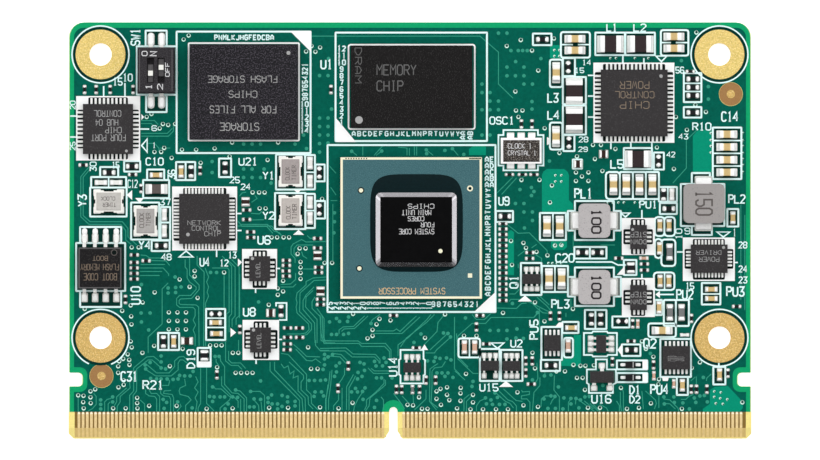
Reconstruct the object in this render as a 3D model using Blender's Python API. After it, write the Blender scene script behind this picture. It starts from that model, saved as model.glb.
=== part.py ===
"""System on module: a small computer board that plugs into a carrier by its edge connector.

Metres, +Z up. The underside of the board lies at z = 0, centred on the origin. +X runs along the
edge connector and +Y points away from it. Each chip stands a solder gap above the board.
"""

import math

import bmesh
import bpy
from mathutils import Matrix, Vector

# Board
BOARD_LENGTH = 0.0820
BOARD_WIDTH = 0.0500
BOARD_THICKNESS = 0.0012
CORNER_RADIUS = 0.0018
HOLE_DIAMETER = 0.0027
HOLE_INSET = 0.0040
HOLE_TIP_DISTANCE = 0.0120
SIDE_NOTCH_DEPTH = 0.0016
SIDE_NOTCH_WIDTH = 0.00165
SIDE_NOTCH_RADIUS = 0.0005
SIDE_NOTCH_HEIGHT = 0.0071

# Edge connector
CONTACT_PITCH = 0.0005
CONTACT_WIDTH = 0.00033
CONTACT_LENGTH = 0.0032
CONTACT_RELIEF = 0.00004
KEY_OFFSET = -0.0020
KEY_WIDTH = 0.0010
KEY_DEPTH = 0.0038
KEY_TO_CONTACT = 0.00125
LEAD_IN_WIDTH = 0.0006
LEAD_IN_LENGTH = 0.0009
TIP_BEVEL_LENGTH = 0.0013
TIP_BEVEL_DEPTH = 0.0004

# Standing heights above the board
SOLDER_GAP = 0.0001
BALL_GAP = 0.0003
BOND_GAP = 0.0001

# Processor
PROCESSOR_SIDE = 0.0170
PROCESSOR_THICKNESS = 0.0008
DIE_LENGTH = 0.0097
DIE_WIDTH = 0.0089
DIE_THICKNESS = 0.0008
DIE_SLOPE = 0.0006
DIE_SLOPE_HEIGHT = 0.0005
DIE_CORNER = 0.0006
DIE_OFFSET_X = 0.0006
DIE_OFFSET_Y = -0.0002

# Memory and storage chips
MEMORY_LENGTH = 0.0146
MEMORY_WIDTH = 0.0099
MEMORY_THICKNESS = 0.0008
STORAGE_LENGTH = 0.0130
STORAGE_WIDTH = 0.0114
STORAGE_THICKNESS = 0.0009
CHIP_CORNER = 0.0001

# Chips with flat leads
FLAT_CHIP_THICKNESS = 0.00085
FLAT_LEAD_WIDTH = 0.00024
FLAT_LEAD_HEIGHT = 0.00012
FLAT_LEAD_HOLD = 0.0003
DIMPLE_DIAMETER = 0.0005
DIMPLE_DEPTH = 0.00005

# Chips with bent leads
BENT_LEAD_THICKNESS = 0.00015
BENT_LEAD_HOLD = 0.0002
MOULD_DRAFT = 0.00008

# Slide switch
SWITCH_LENGTH = 0.0044
SWITCH_WIDTH = 0.0055
SWITCH_HEIGHT = 0.0024
SWITCH_EDGE = 0.00015
SWITCH_PITCH = 0.00127
SWITCH_TRAVEL = 0.0007
SLOT_WIDTH = 0.00084
SLOT_DEPTH = 0.0011
SLIDER_FOOT_LENGTH = 0.0021
SLIDER_FOOT_HEIGHT = 0.00040
SLIDER_KNOB_LENGTH = 0.0006
SLIDER_KNOB_HEIGHT = 0.0005
SLIDER_CLEARANCE = 0.0001
SWITCH_LEAD_REACH = 0.0012
SWITCH_LEAD_WIDTH = 0.0005
SWITCH_LEAD_RISE = 0.0008

# Crystals and oscillator
CRYSTAL_LENGTH = 0.0035
CRYSTAL_WIDTH = 0.0027
CRYSTAL_HEIGHT = 0.0006
LID_INSET = 0.00035
LID_HEIGHT = 0.00015
LID_CORNER = 0.0003
OSCILLATOR_LENGTH = 0.0049
OSCILLATOR_WIDTH = 0.0031
OSCILLATOR_HEIGHT = 0.0010
OSCILLATOR_PAD_WIDTH = 0.0008
OSCILLATOR_PAD_REACH = 0.0005
OSCILLATOR_PAD_HEIGHT = 0.00015

# Power inductors
SMALL_COIL_LENGTH = 0.0038
SMALL_COIL_WIDTH = 0.0041
SMALL_COIL_HEIGHT = 0.0018
LARGE_COIL_LENGTH = 0.0049
LARGE_COIL_WIDTH = 0.0047
LARGE_COIL_HEIGHT = 0.0028
COIL_CORNER = 0.0006
COIL_TERMINAL_WIDTH = 0.0018
COIL_TERMINAL_REACH = 0.0007
COIL_TERMINAL_HEIGHT = 0.0004

# Filter inductors and ceramic capacitors, each with metal ends that stand proud of the body
FILTER_LENGTH = 0.0025
FILTER_WIDTH = 0.0020
FILTER_HEIGHT = 0.0012
FILTER_END = 0.0007
CAPACITOR_LENGTH = 0.0018
CAPACITOR_WIDTH = 0.0009
CAPACITOR_HEIGHT = 0.00085
CAPACITOR_END = 0.00045
CHIP_END_PROUD = 0.00003
SOLDER_FILLET = 0.0003
SOLDER_CLIMB = 0.6

# Small parts soldered down as one with the board: overall length, width and height
TINY_PART = (0.0011, 0.00042, 0.00032)
SMALL_PART = (0.0014, 0.00062, 0.00045)
BROAD_PART = (0.0012, 0.0011, 0.00050)
LARGE_PART = (0.0021, 0.0009, 0.00060)
DIODE_PART = (0.0024, 0.0008, 0.00065)
SOLDER_SINK = 0.0001
PART_TAPER = 0.00006

# Places on the board are grid steps, x to the right and y towards the edge connector. At the board's
# own size a step is 0.12 mm both ways.
STEPS_ACROSS = 683.33
STEPS_ALONG = 416.67
GRID_CENTRE_X = 410.0
GRID_CENTRE_Y = 230.5

PROCESSOR_PLACE = (411.2, 228.0)
MEMORY_PLACE = (411.5, 86.8)
STORAGE_PLACE = (244.0, 92.0)
SWITCH_PLACE = (156.2, 70.5)
OSCILLATOR_PLACE = (521.2, 150.7)

# name, x, y, length, width, leads along x, leads along y, pitch, reach of the leads
FLAT_CHIPS = [
    ("power_controller", 634.2, 103.0, 0.0080, 0.0080, 14, 14, 0.0005, 0.00065),
    ("usb_hub", 108.0, 129.0, 0.0060, 0.0060, 9, 9, 0.0005, 0.00065),
    ("ethernet_controller", 204.2, 218.8, 0.0060, 0.0060, 12, 12, 0.0004, 0.00060),
    ("level_shifter_1", 259.7, 268.7, 0.0025, 0.0030, 3, 4, 0.0005, 0.00045),
    ("level_shifter_2", 260.5, 340.0, 0.0025, 0.0030, 3, 4, 0.0005, 0.00045),
    ("regulator_1", 676.3, 357.7, 0.0033, 0.0028, 6, 0, 0.0005, 0.00050),
    ("regulator_2", 709.2, 258.7, 0.0044, 0.0034, 9, 5, 0.0004, 0.00050),
    ("regulator_3", 552.3, 343.0, 0.0020, 0.0019, 4, 0, 0.0005, 0.00055),
    ("regulator_4", 638.5, 297.5, 0.0020, 0.0030, 3, 3, 0.0005, 0.00050),
    ("regulator_5", 638.5, 237.0, 0.0020, 0.0029, 3, 3, 0.0005, 0.00050),
]

# name, x, y, turn in degrees, length, width, height, lead width, reach, then where the leads sit
# along the far side and along the near side
BENT_CHIPS = [
    ("boot_flash", 100.3, 268.0, 0, 0.0053, 0.0050, 0.0018, 0.00042, 0.0014,
     (-0.001905, -0.000635, 0.000635, 0.001905), (-0.001905, -0.000635, 0.000635, 0.001905)),
    ("transistor_pair_1", 531.7, 279.0, 0, 0.0022, 0.0012, 0.0009, 0.00025, 0.00075,
     (-0.00065, 0.0, 0.00065), (-0.00065, 0.0, 0.00065)),
    ("transistor_pair_2", 601.2, 344.0, 90, 0.0021, 0.0012, 0.0009, 0.00030, 0.00085,
     (-0.00069, 0.0, 0.00069), (-0.00069, 0.0, 0.00069)),
    ("logic_gate_1", 412.2, 367.5, 0, 0.0021, 0.0012, 0.0009, 0.00025, 0.00085,
     (-0.00069, 0.0, 0.00069), (-0.00069, 0.0, 0.00069)),
    ("logic_gate_2", 489.9, 365.7, 0, 0.0022, 0.0012, 0.0009, 0.00025, 0.00080,
     (-0.00069, 0.0, 0.00069), (-0.00069, 0.00069)),
    ("logic_gate_3", 511.7, 365.9, 0, 0.0021, 0.0012, 0.0009, 0.00025, 0.00080,
     (-0.00065, 0.0, 0.00065), (-0.00065, 0.0, 0.00065)),
    ("reset_supervisor", 602.0, 377.0, 0, 0.0029, 0.0014, 0.0010, 0.00045, 0.00085,
     (0.0,), (-0.00095, 0.00095)),
]

# name, x, y, turn in degrees
CRYSTALS = [
    ("crystal_1", 108.7, 201.5, 0),
    ("crystal_2", 145.5, 221.0, 90),
    ("crystal_3", 290.5, 171.5, 90),
    ("crystal_4", 290.5, 210.5, 90),
]
FILTER_INDUCTORS = [
    ("filter_inductor_1", 610.5, 44.0, 0),
    ("filter_inductor_2", 640.5, 44.0, 0),
    ("filter_inductor_3", 638.0, 159.0, 0),
    ("filter_inductor_4", 574.3, 91.0, 90),
    ("filter_inductor_5", 574.3, 119.5, 90),
]
SMALL_COILS = [
    ("power_inductor_1", 594.3, 220.7),
    ("power_inductor_2", 594.3, 287.0),
]
LARGE_COILS = [
    ("power_inductor_3", 703.7, 203.5),
]
CAPACITORS = [
    ("capacitor_1", 575.0, 38.8, 0),
    ("capacitor_2", 575.0, 50.3, 0),
    ("capacitor_3", 674.0, 36.5, 0),
    ("capacitor_4", 674.0, 48.3, 0),
    ("capacitor_5", 556.2, 72.5, 90),
    ("capacitor_6", 556.0, 136.5, 90),
    ("capacitor_7", 727.0, 134.3, 0),
    ("capacitor_8", 727.0, 147.0, 0),
    ("capacitor_9", 727.0, 159.8, 0),
    ("capacitor_10", 727.0, 172.3, 0),
    ("capacitor_11", 613.5, 184.5, 90),
    ("capacitor_12", 626.3, 184.5, 90),
    ("capacitor_13", 639.5, 184.5, 90),
    ("capacitor_14", 652.5, 184.5, 90),
    ("capacitor_15", 547.0, 226.3, 90),
    ("capacitor_16", 559.7, 226.3, 90),
    ("capacitor_17", 549.0, 278.7, 90),
    ("capacitor_18", 561.7, 278.7, 90),
    ("capacitor_19", 662.3, 330.5, 0),
    ("capacitor_20", 156.5, 189.0, 0),
]

# Small parts, each by the middle of its length and width
TINY_ACROSS = [
    (690.5, 71.5), (83.0, 165.0), (132.5, 174.5), (509.5, 174.5), (522.5, 174.5), (534.0, 174.5),
    (246.5, 210.0), (246.5, 219.5), (250.5, 232.0), (250.7, 237.5), (317.5, 238.5), (317.5, 248.0),
    (286.3, 260.5), (286.3, 265.5), (286.0, 271.0), (286.3, 276.2), (318.5, 267.4), (318.5, 272.6),
    (320.5, 299.3), (320.5, 304.6), (287.5, 328.0), (287.5, 337.5), (287.3, 344.0), (287.0, 349.8),
    (299.3, 328.0), (299.5, 337.5), (393.5, 315.5), (480.0, 315.5), (416.3, 348.0), (486.5, 344.0),
    (530.0, 252.6), (529.7, 258.5), (736.8, 306.5), (631.2, 341.2), (619.0, 258.3), (644.0, 258.2),
    (644.5, 264.0), (644.5, 270.2), (134.2, 255.0), (146.0, 260.8), (134.0, 262.5), (134.0, 268.0),
    (134.0, 273.5), (134.0, 279.0), (684.8, 335.0), (531.3, 384.2),
]
TINY_UPRIGHT = [
    (84.5, 89.5), (96.0, 89.5), (110.0, 89.5), (133.0, 89.5), (331.0, 89.5), (521.5, 124.0),
    (532.0, 124.0), (200.0, 170.5), (239.8, 329.5), (476.5, 327.0), (550.5, 316.0), (559.5, 316.0),
    (691.5, 318.5), (125.3, 299.5), (141.0, 188.5), (216.8, 374.8), (338.0, 388.5), (348.3, 366.0),
    (396.5, 389.5), (401.7, 389.5), (412.5, 389.5), (419.5, 389.5), (426.0, 380.2), (435.6, 380.2),
    (525.8, 361.0), (532.3, 361.0), (525.8, 373.0), (612.5, 361.8), (653.7, 365.0), (728.0, 373.3),
    (691.4, 389.3), (696.6, 389.3), (707.0, 389.3), (632.8, 323.8), (637.9, 323.9), (674.0, 383.8),
    (654.0, 375.8),
]
# A ladder of tiny parts between the processor and the power inductors
LADDER_X = 503.0
LADDER_TOP = 223.5
LADDER_STEP = 5.5
LADDER_COUNT = 15

SMALL_ACROSS = [
    (542.5, 39.3), (693.0, 79.0), (693.0, 87.3), (693.0, 95.5), (693.0, 112.5), (132.0, 166.3),
    (109.0, 172.5), (156.0, 175.0), (100.8, 182.5), (116.0, 182.5), (161.0, 245.7), (505.0, 216.3),
    (582.5, 252.5), (597.5, 252.5), (669.0, 208.7), (571.5, 327.8), (711.5, 289.3), (711.5, 298.6),
    (215.5, 314.0), (215.5, 322.6), (216.3, 333.7), (622.5, 321.3), (551.0, 365.5), (631.5, 350.0),
]
SMALL_UPRIGHT = [
    (568.3, 67.0), (181.0, 171.5), (191.0, 171.5), (225.0, 167.8), (310.3, 163.6), (310.3, 180.0),
    (320.0, 173.0), (310.3, 202.2), (310.3, 219.0), (320.0, 209.8), (164.3, 214.7), (164.3, 231.0),
    (569.0, 142.5), (658.7, 160.8), (663.7, 194.5), (672.0, 194.5), (733.0, 217.8), (659.7, 248.3),
    (591.5, 319.3), (600.7, 319.3), (660.2, 281.0), (669.0, 281.0), (659.2, 307.5), (163.3, 341.7),
    (173.6, 341.5), (719.7, 374.7), (682.5, 385.3), (281.0, 311.0), (660.0, 225.3), (669.2, 225.3),
]
BROAD_ACROSS = [(578.0, 164.0), (603.7, 154.0), (186.8, 341.0), (270.7, 313.0)]
BROAD_UPRIGHT = [(245.5, 201.8), (317.5, 255.5), (320.5, 291.3)]
LARGE_UPRIGHT = [
    (464.5, 347.2), (474.7, 347.2), (568.2, 345.7), (669.7, 252.0), (670.0, 312.5), (681.7, 312.5),
]
DIODES_ACROSS = [(630.0, 364.5), (630.0, 377.3)]
SQUARE_PARTS = [(204.3, 355.5), (631.0, 267.8)]
SQUARE_PART = (0.0009, 0.0012, 0.00045)

COLOURS = {
    "green_board": ((0.00, 0.12, 0.08), 0.35, 0.0),
    "black_plastic": ((0.03, 0.03, 0.03), 0.50, 0.0),
    "grey_plastic": ((0.05, 0.048, 0.05), 0.45, 0.0),
    "teal_substrate": ((0.06, 0.15, 0.17), 0.40, 0.0),
    "dark_silicon": ((0.01, 0.01, 0.012), 0.15, 0.0),
    "white_plastic": ((0.85, 0.85, 0.83), 0.40, 0.0),
    "white_ceramic": ((0.82, 0.80, 0.76), 0.40, 0.0),
    "grey_ferrite": ((0.50, 0.48, 0.48), 0.60, 0.0),
    "dark_ferrite": ((0.03, 0.027, 0.027), 0.55, 0.0),
    "tan_ceramic": ((0.60, 0.46, 0.21), 0.50, 0.0),
}


def clear_scene():
    for obj in list(bpy.data.objects):
        bpy.data.objects.remove(obj, do_unlink=True)


def make_materials():
    made = {}
    for name, (colour, roughness, metallic) in COLOURS.items():
        material = bpy.data.materials.new(name)
        material.use_nodes = True
        shader = material.node_tree.nodes["Principled BSDF"]
        shader.inputs["Base Color"].default_value = (*colour, 1.0)
        shader.inputs["Roughness"].default_value = roughness
        shader.inputs["Metallic"].default_value = metallic
        made[name] = material
    return made


def spot(x, y):
    """The point of the board's top face that lies at a place of the grid."""
    across = (x - GRID_CENTRE_X) * BOARD_LENGTH / STEPS_ACROSS
    along = (GRID_CENTRE_Y - y) * BOARD_WIDTH / STEPS_ALONG
    return Vector((across, along, BOARD_THICKNESS))


def add_box(bm, low, high):
    """A box between two corners, and its vertices."""
    low = Vector(low)
    high = Vector(high)
    size = high - low
    place = Matrix.Translation((low + high) / 2) @ Matrix.Diagonal((*size, 1.0))
    return bmesh.ops.create_cube(bm, size=1.0, matrix=place)["verts"]


def add_block(bm, length, width, bottom, top):
    """A box centred on the vertical axis."""
    return add_box(bm, (-length / 2, -width / 2, bottom), (length / 2, width / 2, top))


def add_prism(bm, outline, half_length, frame):
    """An outline in the x and y of a frame, drawn out both ways along the frame's z."""
    start = [bm.verts.new(frame @ Vector((x, y, -half_length))) for x, y in outline]
    face = bm.faces.new(start)
    drawn = bmesh.ops.extrude_face_region(bm, geom=[face])
    moved = [item for item in drawn["geom"] if isinstance(item, bmesh.types.BMVert)]
    along = frame.to_3x3() @ Vector((0.0, 0.0, 2 * half_length))
    bmesh.ops.translate(bm, verts=moved, vec=along)


def round_upright_edges(bm, chosen, radius, segments):
    """Rounds the vertical edges whose middle the test accepts."""
    edges = []
    for edge in bm.edges:
        a, b = (vert.co for vert in edge.verts)
        upright = abs(a.x - b.x) < 1e-9 and abs(a.y - b.y) < 1e-9
        if upright and chosen((a + b) / 2):
            edges.append(edge)
    bmesh.ops.bevel(bm, geom=edges, offset=radius, segments=segments, profile=0.5, affect="EDGES")


def pull_in(verts, level, inset_x, inset_y):
    """Moves the vertices at one level towards the vertical axis."""
    for vert in verts:
        if abs(vert.co.z - level) < 1e-7:
            vert.co.x -= math.copysign(inset_x, vert.co.x)
            vert.co.y -= math.copysign(inset_y, vert.co.y)


class Bench:
    """The two collections, the materials, and the steps that put solids into them."""

    def __init__(self):
        self.parts = bpy.data.collections.new("system_on_module")
        self.cutters = bpy.data.collections.new("cutters")
        self.cutters.hide_render = True
        for collection in (self.parts, self.cutters):
            bpy.context.scene.collection.children.link(collection)
        self.materials = make_materials()

    def mesh_object(self, name, bm, collection):
        bmesh.ops.recalc_face_normals(bm, faces=bm.faces)
        mesh = bpy.data.meshes.new(name)
        bm.to_mesh(mesh)
        bm.free()
        obj = bpy.data.objects.new(name, mesh)
        collection.objects.link(obj)
        return obj

    def solid(self, name, bm, material, place, turn=0.0):
        obj = self.mesh_object(name, bm, self.parts)
        obj.data.materials.append(self.materials[material])
        obj.location = place
        obj.rotation_euler = (0.0, 0.0, math.radians(turn))
        return obj

    def helper(self, name, bm, like=None):
        """A cutter or an addition, which takes the place of the solid it works on."""
        obj = self.mesh_object(name, bm, self.cutters)
        obj.hide_render = True
        obj.display_type = "WIRE"
        if like is not None:
            obj.location = like.location
            obj.rotation_euler = like.rotation_euler
        return obj

    def combine(self, obj, other, operation):
        step = obj.modifiers.new(other.name, "BOOLEAN")
        step.operation = operation
        step.solver = "EXACT"
        step.use_self = operation == "UNION"
        step.object = other


# Circuit board


def tip_edge():
    return -BOARD_WIDTH / 2


def contact_gaps():
    """The middles of the gaps beside the contacts, on both sides of the key notch.

    The last contact keeps the same distance from the board's side as the first has from the key.
    """
    gaps = []
    for side in (-1, 1):
        room = BOARD_LENGTH / 2 - side * KEY_OFFSET - 2 * KEY_TO_CONTACT
        contacts = round(room / CONTACT_PITCH) + 1
        first = KEY_OFFSET + side * (KEY_TO_CONTACT - CONTACT_PITCH / 2)
        gaps += [first + side * CONTACT_PITCH * index for index in range(contacts + 1)]
    return gaps


def board_blank():
    bm = bmesh.new()
    add_block(bm, BOARD_LENGTH, BOARD_WIDTH, 0.0, BOARD_THICKNESS)
    round_upright_edges(bm, lambda middle: middle.y > 0.0, CORNER_RADIUS, 5)
    lead_in = LEAD_IN_WIDTH
    round_upright_edges(bm, lambda middle: middle.y < tip_edge() + 1e-6, lead_in, 1)
    return bm


def hole_places():
    across = BOARD_LENGTH / 2 - HOLE_INSET
    rows = (BOARD_WIDTH / 2 - HOLE_INSET, tip_edge() + HOLE_TIP_DISTANCE)
    return [(side * across, row) for side in (-1, 1) for row in rows]


def hole_cutter():
    bm = bmesh.new()
    for x, y in hole_places():
        place = Matrix.Translation((x, y, BOARD_THICKNESS / 2))
        bmesh.ops.create_cone(
            bm, cap_ends=True, segments=28, radius1=HOLE_DIAMETER / 2,
            radius2=HOLE_DIAMETER / 2, depth=2 * BOARD_THICKNESS, matrix=place,
        )
    return bm


def side_notch_cutter():
    """Two rounded slots that let the carrier's latches past the board's sides."""
    bm = bmesh.new()
    middle = tip_edge() + SIDE_NOTCH_HEIGHT
    for side in (-1, 1):
        inner = side * (BOARD_LENGTH / 2 - SIDE_NOTCH_DEPTH)
        outer = side * (BOARD_LENGTH / 2 + SIDE_NOTCH_DEPTH)
        low = (min(inner, outer), middle - SIDE_NOTCH_WIDTH / 2, -BOARD_THICKNESS)
        high = (max(inner, outer), middle + SIDE_NOTCH_WIDTH / 2, 2 * BOARD_THICKNESS)
        add_box(bm, low, high)
    inside = BOARD_LENGTH / 2
    round_upright_edges(bm, lambda middle: abs(middle.x) < inside, SIDE_NOTCH_RADIUS, 4)
    return bm


def key_cutter():
    """The key notch: a slot with a round end and a chamfered mouth."""
    half = KEY_WIDTH / 2
    mouth = half + LEAD_IN_WIDTH
    end = KEY_DEPTH - half
    steps = 8
    outline = [(mouth, -LEAD_IN_LENGTH), (mouth, 0.0), (half, LEAD_IN_LENGTH)]
    for step in range(steps + 1):
        angle = math.pi * step / steps
        outline.append((half * math.cos(angle), end + half * math.sin(angle)))
    outline += [(-half, LEAD_IN_LENGTH), (-mouth, 0.0), (-mouth, -LEAD_IN_LENGTH)]
    bm = bmesh.new()
    frame = Matrix.Translation((KEY_OFFSET, tip_edge(), BOARD_THICKNESS / 2))
    add_prism(bm, outline, BOARD_THICKNESS, frame)
    return bm


def tip_bevel_cutter():
    """Two wedges that thin the tongue towards its tip, one above and one below."""
    bm = bmesh.new()
    past_tip = TIP_BEVEL_LENGTH / 2
    depth = TIP_BEVEL_DEPTH * (1 + past_tip / TIP_BEVEL_LENGTH)
    outline = [(TIP_BEVEL_LENGTH, 0.0), (-past_tip, depth), (-past_tip, -past_tip)]
    for side in (-1, 1):
        face = BOARD_THICKNESS / 2 + side * BOARD_THICKNESS / 2
        # The frame's x runs up the board, its y points into the board and its z along the edge.
        frame = Matrix((
            (0.0, 0.0, 1.0, 0.0),
            (1.0, 0.0, 0.0, tip_edge()),
            (0.0, -side, 0.0, face),
            (0.0, 0.0, 0.0, 1.0),
        ))
        add_prism(bm, outline, BOARD_LENGTH / 2 + past_tip, frame)
    return bm


def contact_groove_cutter():
    """The bare strips between the upper contacts lie a copper's thickness below them."""
    bm = bmesh.new()
    half = (CONTACT_PITCH - CONTACT_WIDTH) / 2
    start = tip_edge() - CONTACT_PITCH
    end = tip_edge() + CONTACT_LENGTH
    bottom = BOARD_THICKNESS - CONTACT_RELIEF
    top = BOARD_THICKNESS + CONTACT_PITCH
    for x in contact_gaps():
        add_box(bm, (x - half, start, bottom), (x + half, end, top))
    return bm


def soldered_part(bm, x, y, size, turned):
    """A small part on its solder: a block that narrows a little towards its top."""
    length, width, height = size
    if turned:
        length, width = width, length
    place = spot(x, y)
    verts = add_block(bm, length, width, -SOLDER_SINK, height)
    pull_in(verts, height, PART_TAPER, PART_TAPER)
    bmesh.ops.translate(bm, verts=verts, vec=place)


def soldered_parts():
    bm = bmesh.new()
    ladder = [(LADDER_X, LADDER_TOP + LADDER_STEP * index) for index in range(LADDER_COUNT)]
    for places, size, turned in (
        (TINY_ACROSS + ladder, TINY_PART, False),
        (TINY_UPRIGHT, TINY_PART, True),
        (SMALL_ACROSS, SMALL_PART, False),
        (SMALL_UPRIGHT, SMALL_PART, True),
        (BROAD_ACROSS, BROAD_PART, False),
        (BROAD_UPRIGHT, BROAD_PART, True),
        (LARGE_UPRIGHT, LARGE_PART, True),
        (DIODES_ACROSS, DIODE_PART, False),
        (SQUARE_PARTS, SQUARE_PART, False),
    ):
        for x, y in places:
            soldered_part(bm, x, y, size, turned)
    return bm


def make_board(bench):
    board = bench.solid("circuit_board", board_blank(), "green_board", (0.0, 0.0, 0.0))
    for name, cutter in (
        ("board_holes", hole_cutter()),
        ("side_notches", side_notch_cutter()),
        ("key_notch", key_cutter()),
        ("tip_bevels", tip_bevel_cutter()),
        ("contact_grooves", contact_groove_cutter()),
    ):
        bench.combine(board, bench.helper(name, cutter), "DIFFERENCE")
    bench.combine(board, bench.helper("soldered_parts", soldered_parts()), "UNION")


# Processor, memory and storage


def make_processor(bench):
    place = spot(*PROCESSOR_PLACE)
    bm = bmesh.new()
    add_block(bm, PROCESSOR_SIDE, PROCESSOR_SIDE, BALL_GAP, BALL_GAP + PROCESSOR_THICKNESS)
    round_upright_edges(bm, lambda middle: True, CHIP_CORNER, 2)
    bench.solid("processor_substrate", bm, "teal_substrate", place)

    bottom = BALL_GAP + PROCESSOR_THICKNESS + BOND_GAP
    top = bottom + DIE_THICKNESS
    bm = bmesh.new()
    add_block(bm, DIE_LENGTH, DIE_WIDTH, bottom, top)
    round_upright_edges(bm, lambda middle: True, DIE_CORNER, 3)
    level = Vector((0.0, 0.0, top - DIE_SLOPE_HEIGHT))
    everything = list(bm.verts) + list(bm.edges) + list(bm.faces)
    bmesh.ops.bisect_plane(bm, geom=everything, plane_co=level, plane_no=(0.0, 0.0, 1.0))
    inward_x = 1.0 - 2 * DIE_SLOPE / DIE_LENGTH
    inward_y = 1.0 - 2 * DIE_SLOPE / DIE_WIDTH
    upper = [vert for vert in bm.verts if abs(vert.co.z - top) < 1e-7]
    bmesh.ops.scale(bm, vec=(inward_x, inward_y, 1.0), verts=upper)
    offset = Vector((DIE_OFFSET_X, DIE_OFFSET_Y, 0.0))
    bench.solid("processor_die", bm, "dark_silicon", place + offset)


def make_ball_chip(bench, name, place, length, width, thickness, material):
    bm = bmesh.new()
    add_block(bm, length, width, BALL_GAP, BALL_GAP + thickness)
    round_upright_edges(bm, lambda middle: True, CHIP_CORNER, 2)
    bench.solid(name, bm, material, spot(*place))


# Chips with flat leads on two or four sides


def lead_line(count, pitch):
    return [(index - (count - 1) / 2) * pitch for index in range(count)]


def make_flat_chip(bench, name, x, y, length, width, count_x, count_y, pitch, reach):
    body_top = SOLDER_GAP + FLAT_CHIP_THICKNESS
    bm = bmesh.new()
    add_block(bm, length, width, SOLDER_GAP, body_top)
    chip = bench.solid(name, bm, "grey_plastic", spot(x, y))

    leads = bmesh.new()
    half = FLAT_LEAD_WIDTH / 2
    top = SOLDER_GAP + FLAT_LEAD_HEIGHT
    for side in (-1, 1):
        edge_y = side * width / 2
        ends_y = sorted((edge_y - side * FLAT_LEAD_HOLD, edge_y + side * reach))
        for middle in lead_line(count_x, pitch):
            low = (middle - half, ends_y[0], SOLDER_GAP)
            add_box(leads, low, (middle + half, ends_y[1], top))
        edge_x = side * length / 2
        ends_x = sorted((edge_x - side * FLAT_LEAD_HOLD, edge_x + side * reach))
        for middle in lead_line(count_y, pitch):
            low = (ends_x[0], middle - half, SOLDER_GAP)
            add_box(leads, low, (ends_x[1], middle + half, top))
    bench.combine(chip, bench.helper(name + "_leads", leads, chip), "UNION")

    dimple = bmesh.new()
    margin = 1.5 * DIMPLE_DIAMETER
    corner = Vector((length / 2 - margin, width / 2 - margin, body_top))
    bmesh.ops.create_cone(
        dimple, cap_ends=True, segments=10, radius1=DIMPLE_DIAMETER / 2,
        radius2=DIMPLE_DIAMETER / 2, depth=2 * DIMPLE_DEPTH, matrix=Matrix.Translation(corner),
    )
    bench.combine(chip, bench.helper(name + "_dimple", dimple, chip), "DIFFERENCE")


# Chips with bent leads


def bent_lead_outline(reach, rise):
    """A lead seen from its side: out of the body, down, and flat on the board."""
    t = BENT_LEAD_THICKNESS
    shoulder = 0.25 * reach
    knee = 0.45 * reach
    return [
        (-BENT_LEAD_HOLD, rise + t), (shoulder, rise + t), (knee, t), (reach, t),
        (reach, 0.0), (knee - t, 0.0), (shoulder - t, rise), (-BENT_LEAD_HOLD, rise),
    ]


def add_bent_leads(bm, side, edge, middles, reach, rise, lead_width):
    """Leads along one long side, which bend down to the solder gap."""
    for middle in middles:
        frame = Matrix((
            (0.0, 0.0, 1.0, middle),
            (side, 0.0, 0.0, side * edge),
            (0.0, 1.0, 0.0, SOLDER_GAP),
            (0.0, 0.0, 0.0, 1.0),
        ))
        add_prism(bm, bent_lead_outline(reach, rise), lead_width / 2, frame)


def moulded_body(bm, length, width, bottom, top):
    """A moulded body whose walls lean in, above and below the line where the leads come out."""
    add_block(bm, length, width, bottom, top)
    middle = Vector((0.0, 0.0, (bottom + top) / 2))
    everything = list(bm.verts) + list(bm.edges) + list(bm.faces)
    bmesh.ops.bisect_plane(bm, geom=everything, plane_co=middle, plane_no=(0.0, 0.0, 1.0))
    pull_in(bm.verts, top, MOULD_DRAFT, MOULD_DRAFT)
    pull_in(bm.verts, bottom, MOULD_DRAFT, MOULD_DRAFT)


def make_bent_chip(bench, name, x, y, turn, length, width, height, lead_width, reach, far, near):
    bottom = 2 * SOLDER_GAP
    bm = bmesh.new()
    moulded_body(bm, length, width, bottom, bottom + height)
    chip = bench.solid(name, bm, "black_plastic", spot(x, y), turn)
    leads = bmesh.new()
    rise = bottom + height / 2 - SOLDER_GAP - BENT_LEAD_THICKNESS / 2
    add_bent_leads(leads, 1, width / 2, far, reach, rise, lead_width)
    add_bent_leads(leads, -1, width / 2, near, reach, rise, lead_width)
    bench.combine(chip, bench.helper(name + "_leads", leads, chip), "UNION")


# Slide switch


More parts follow.
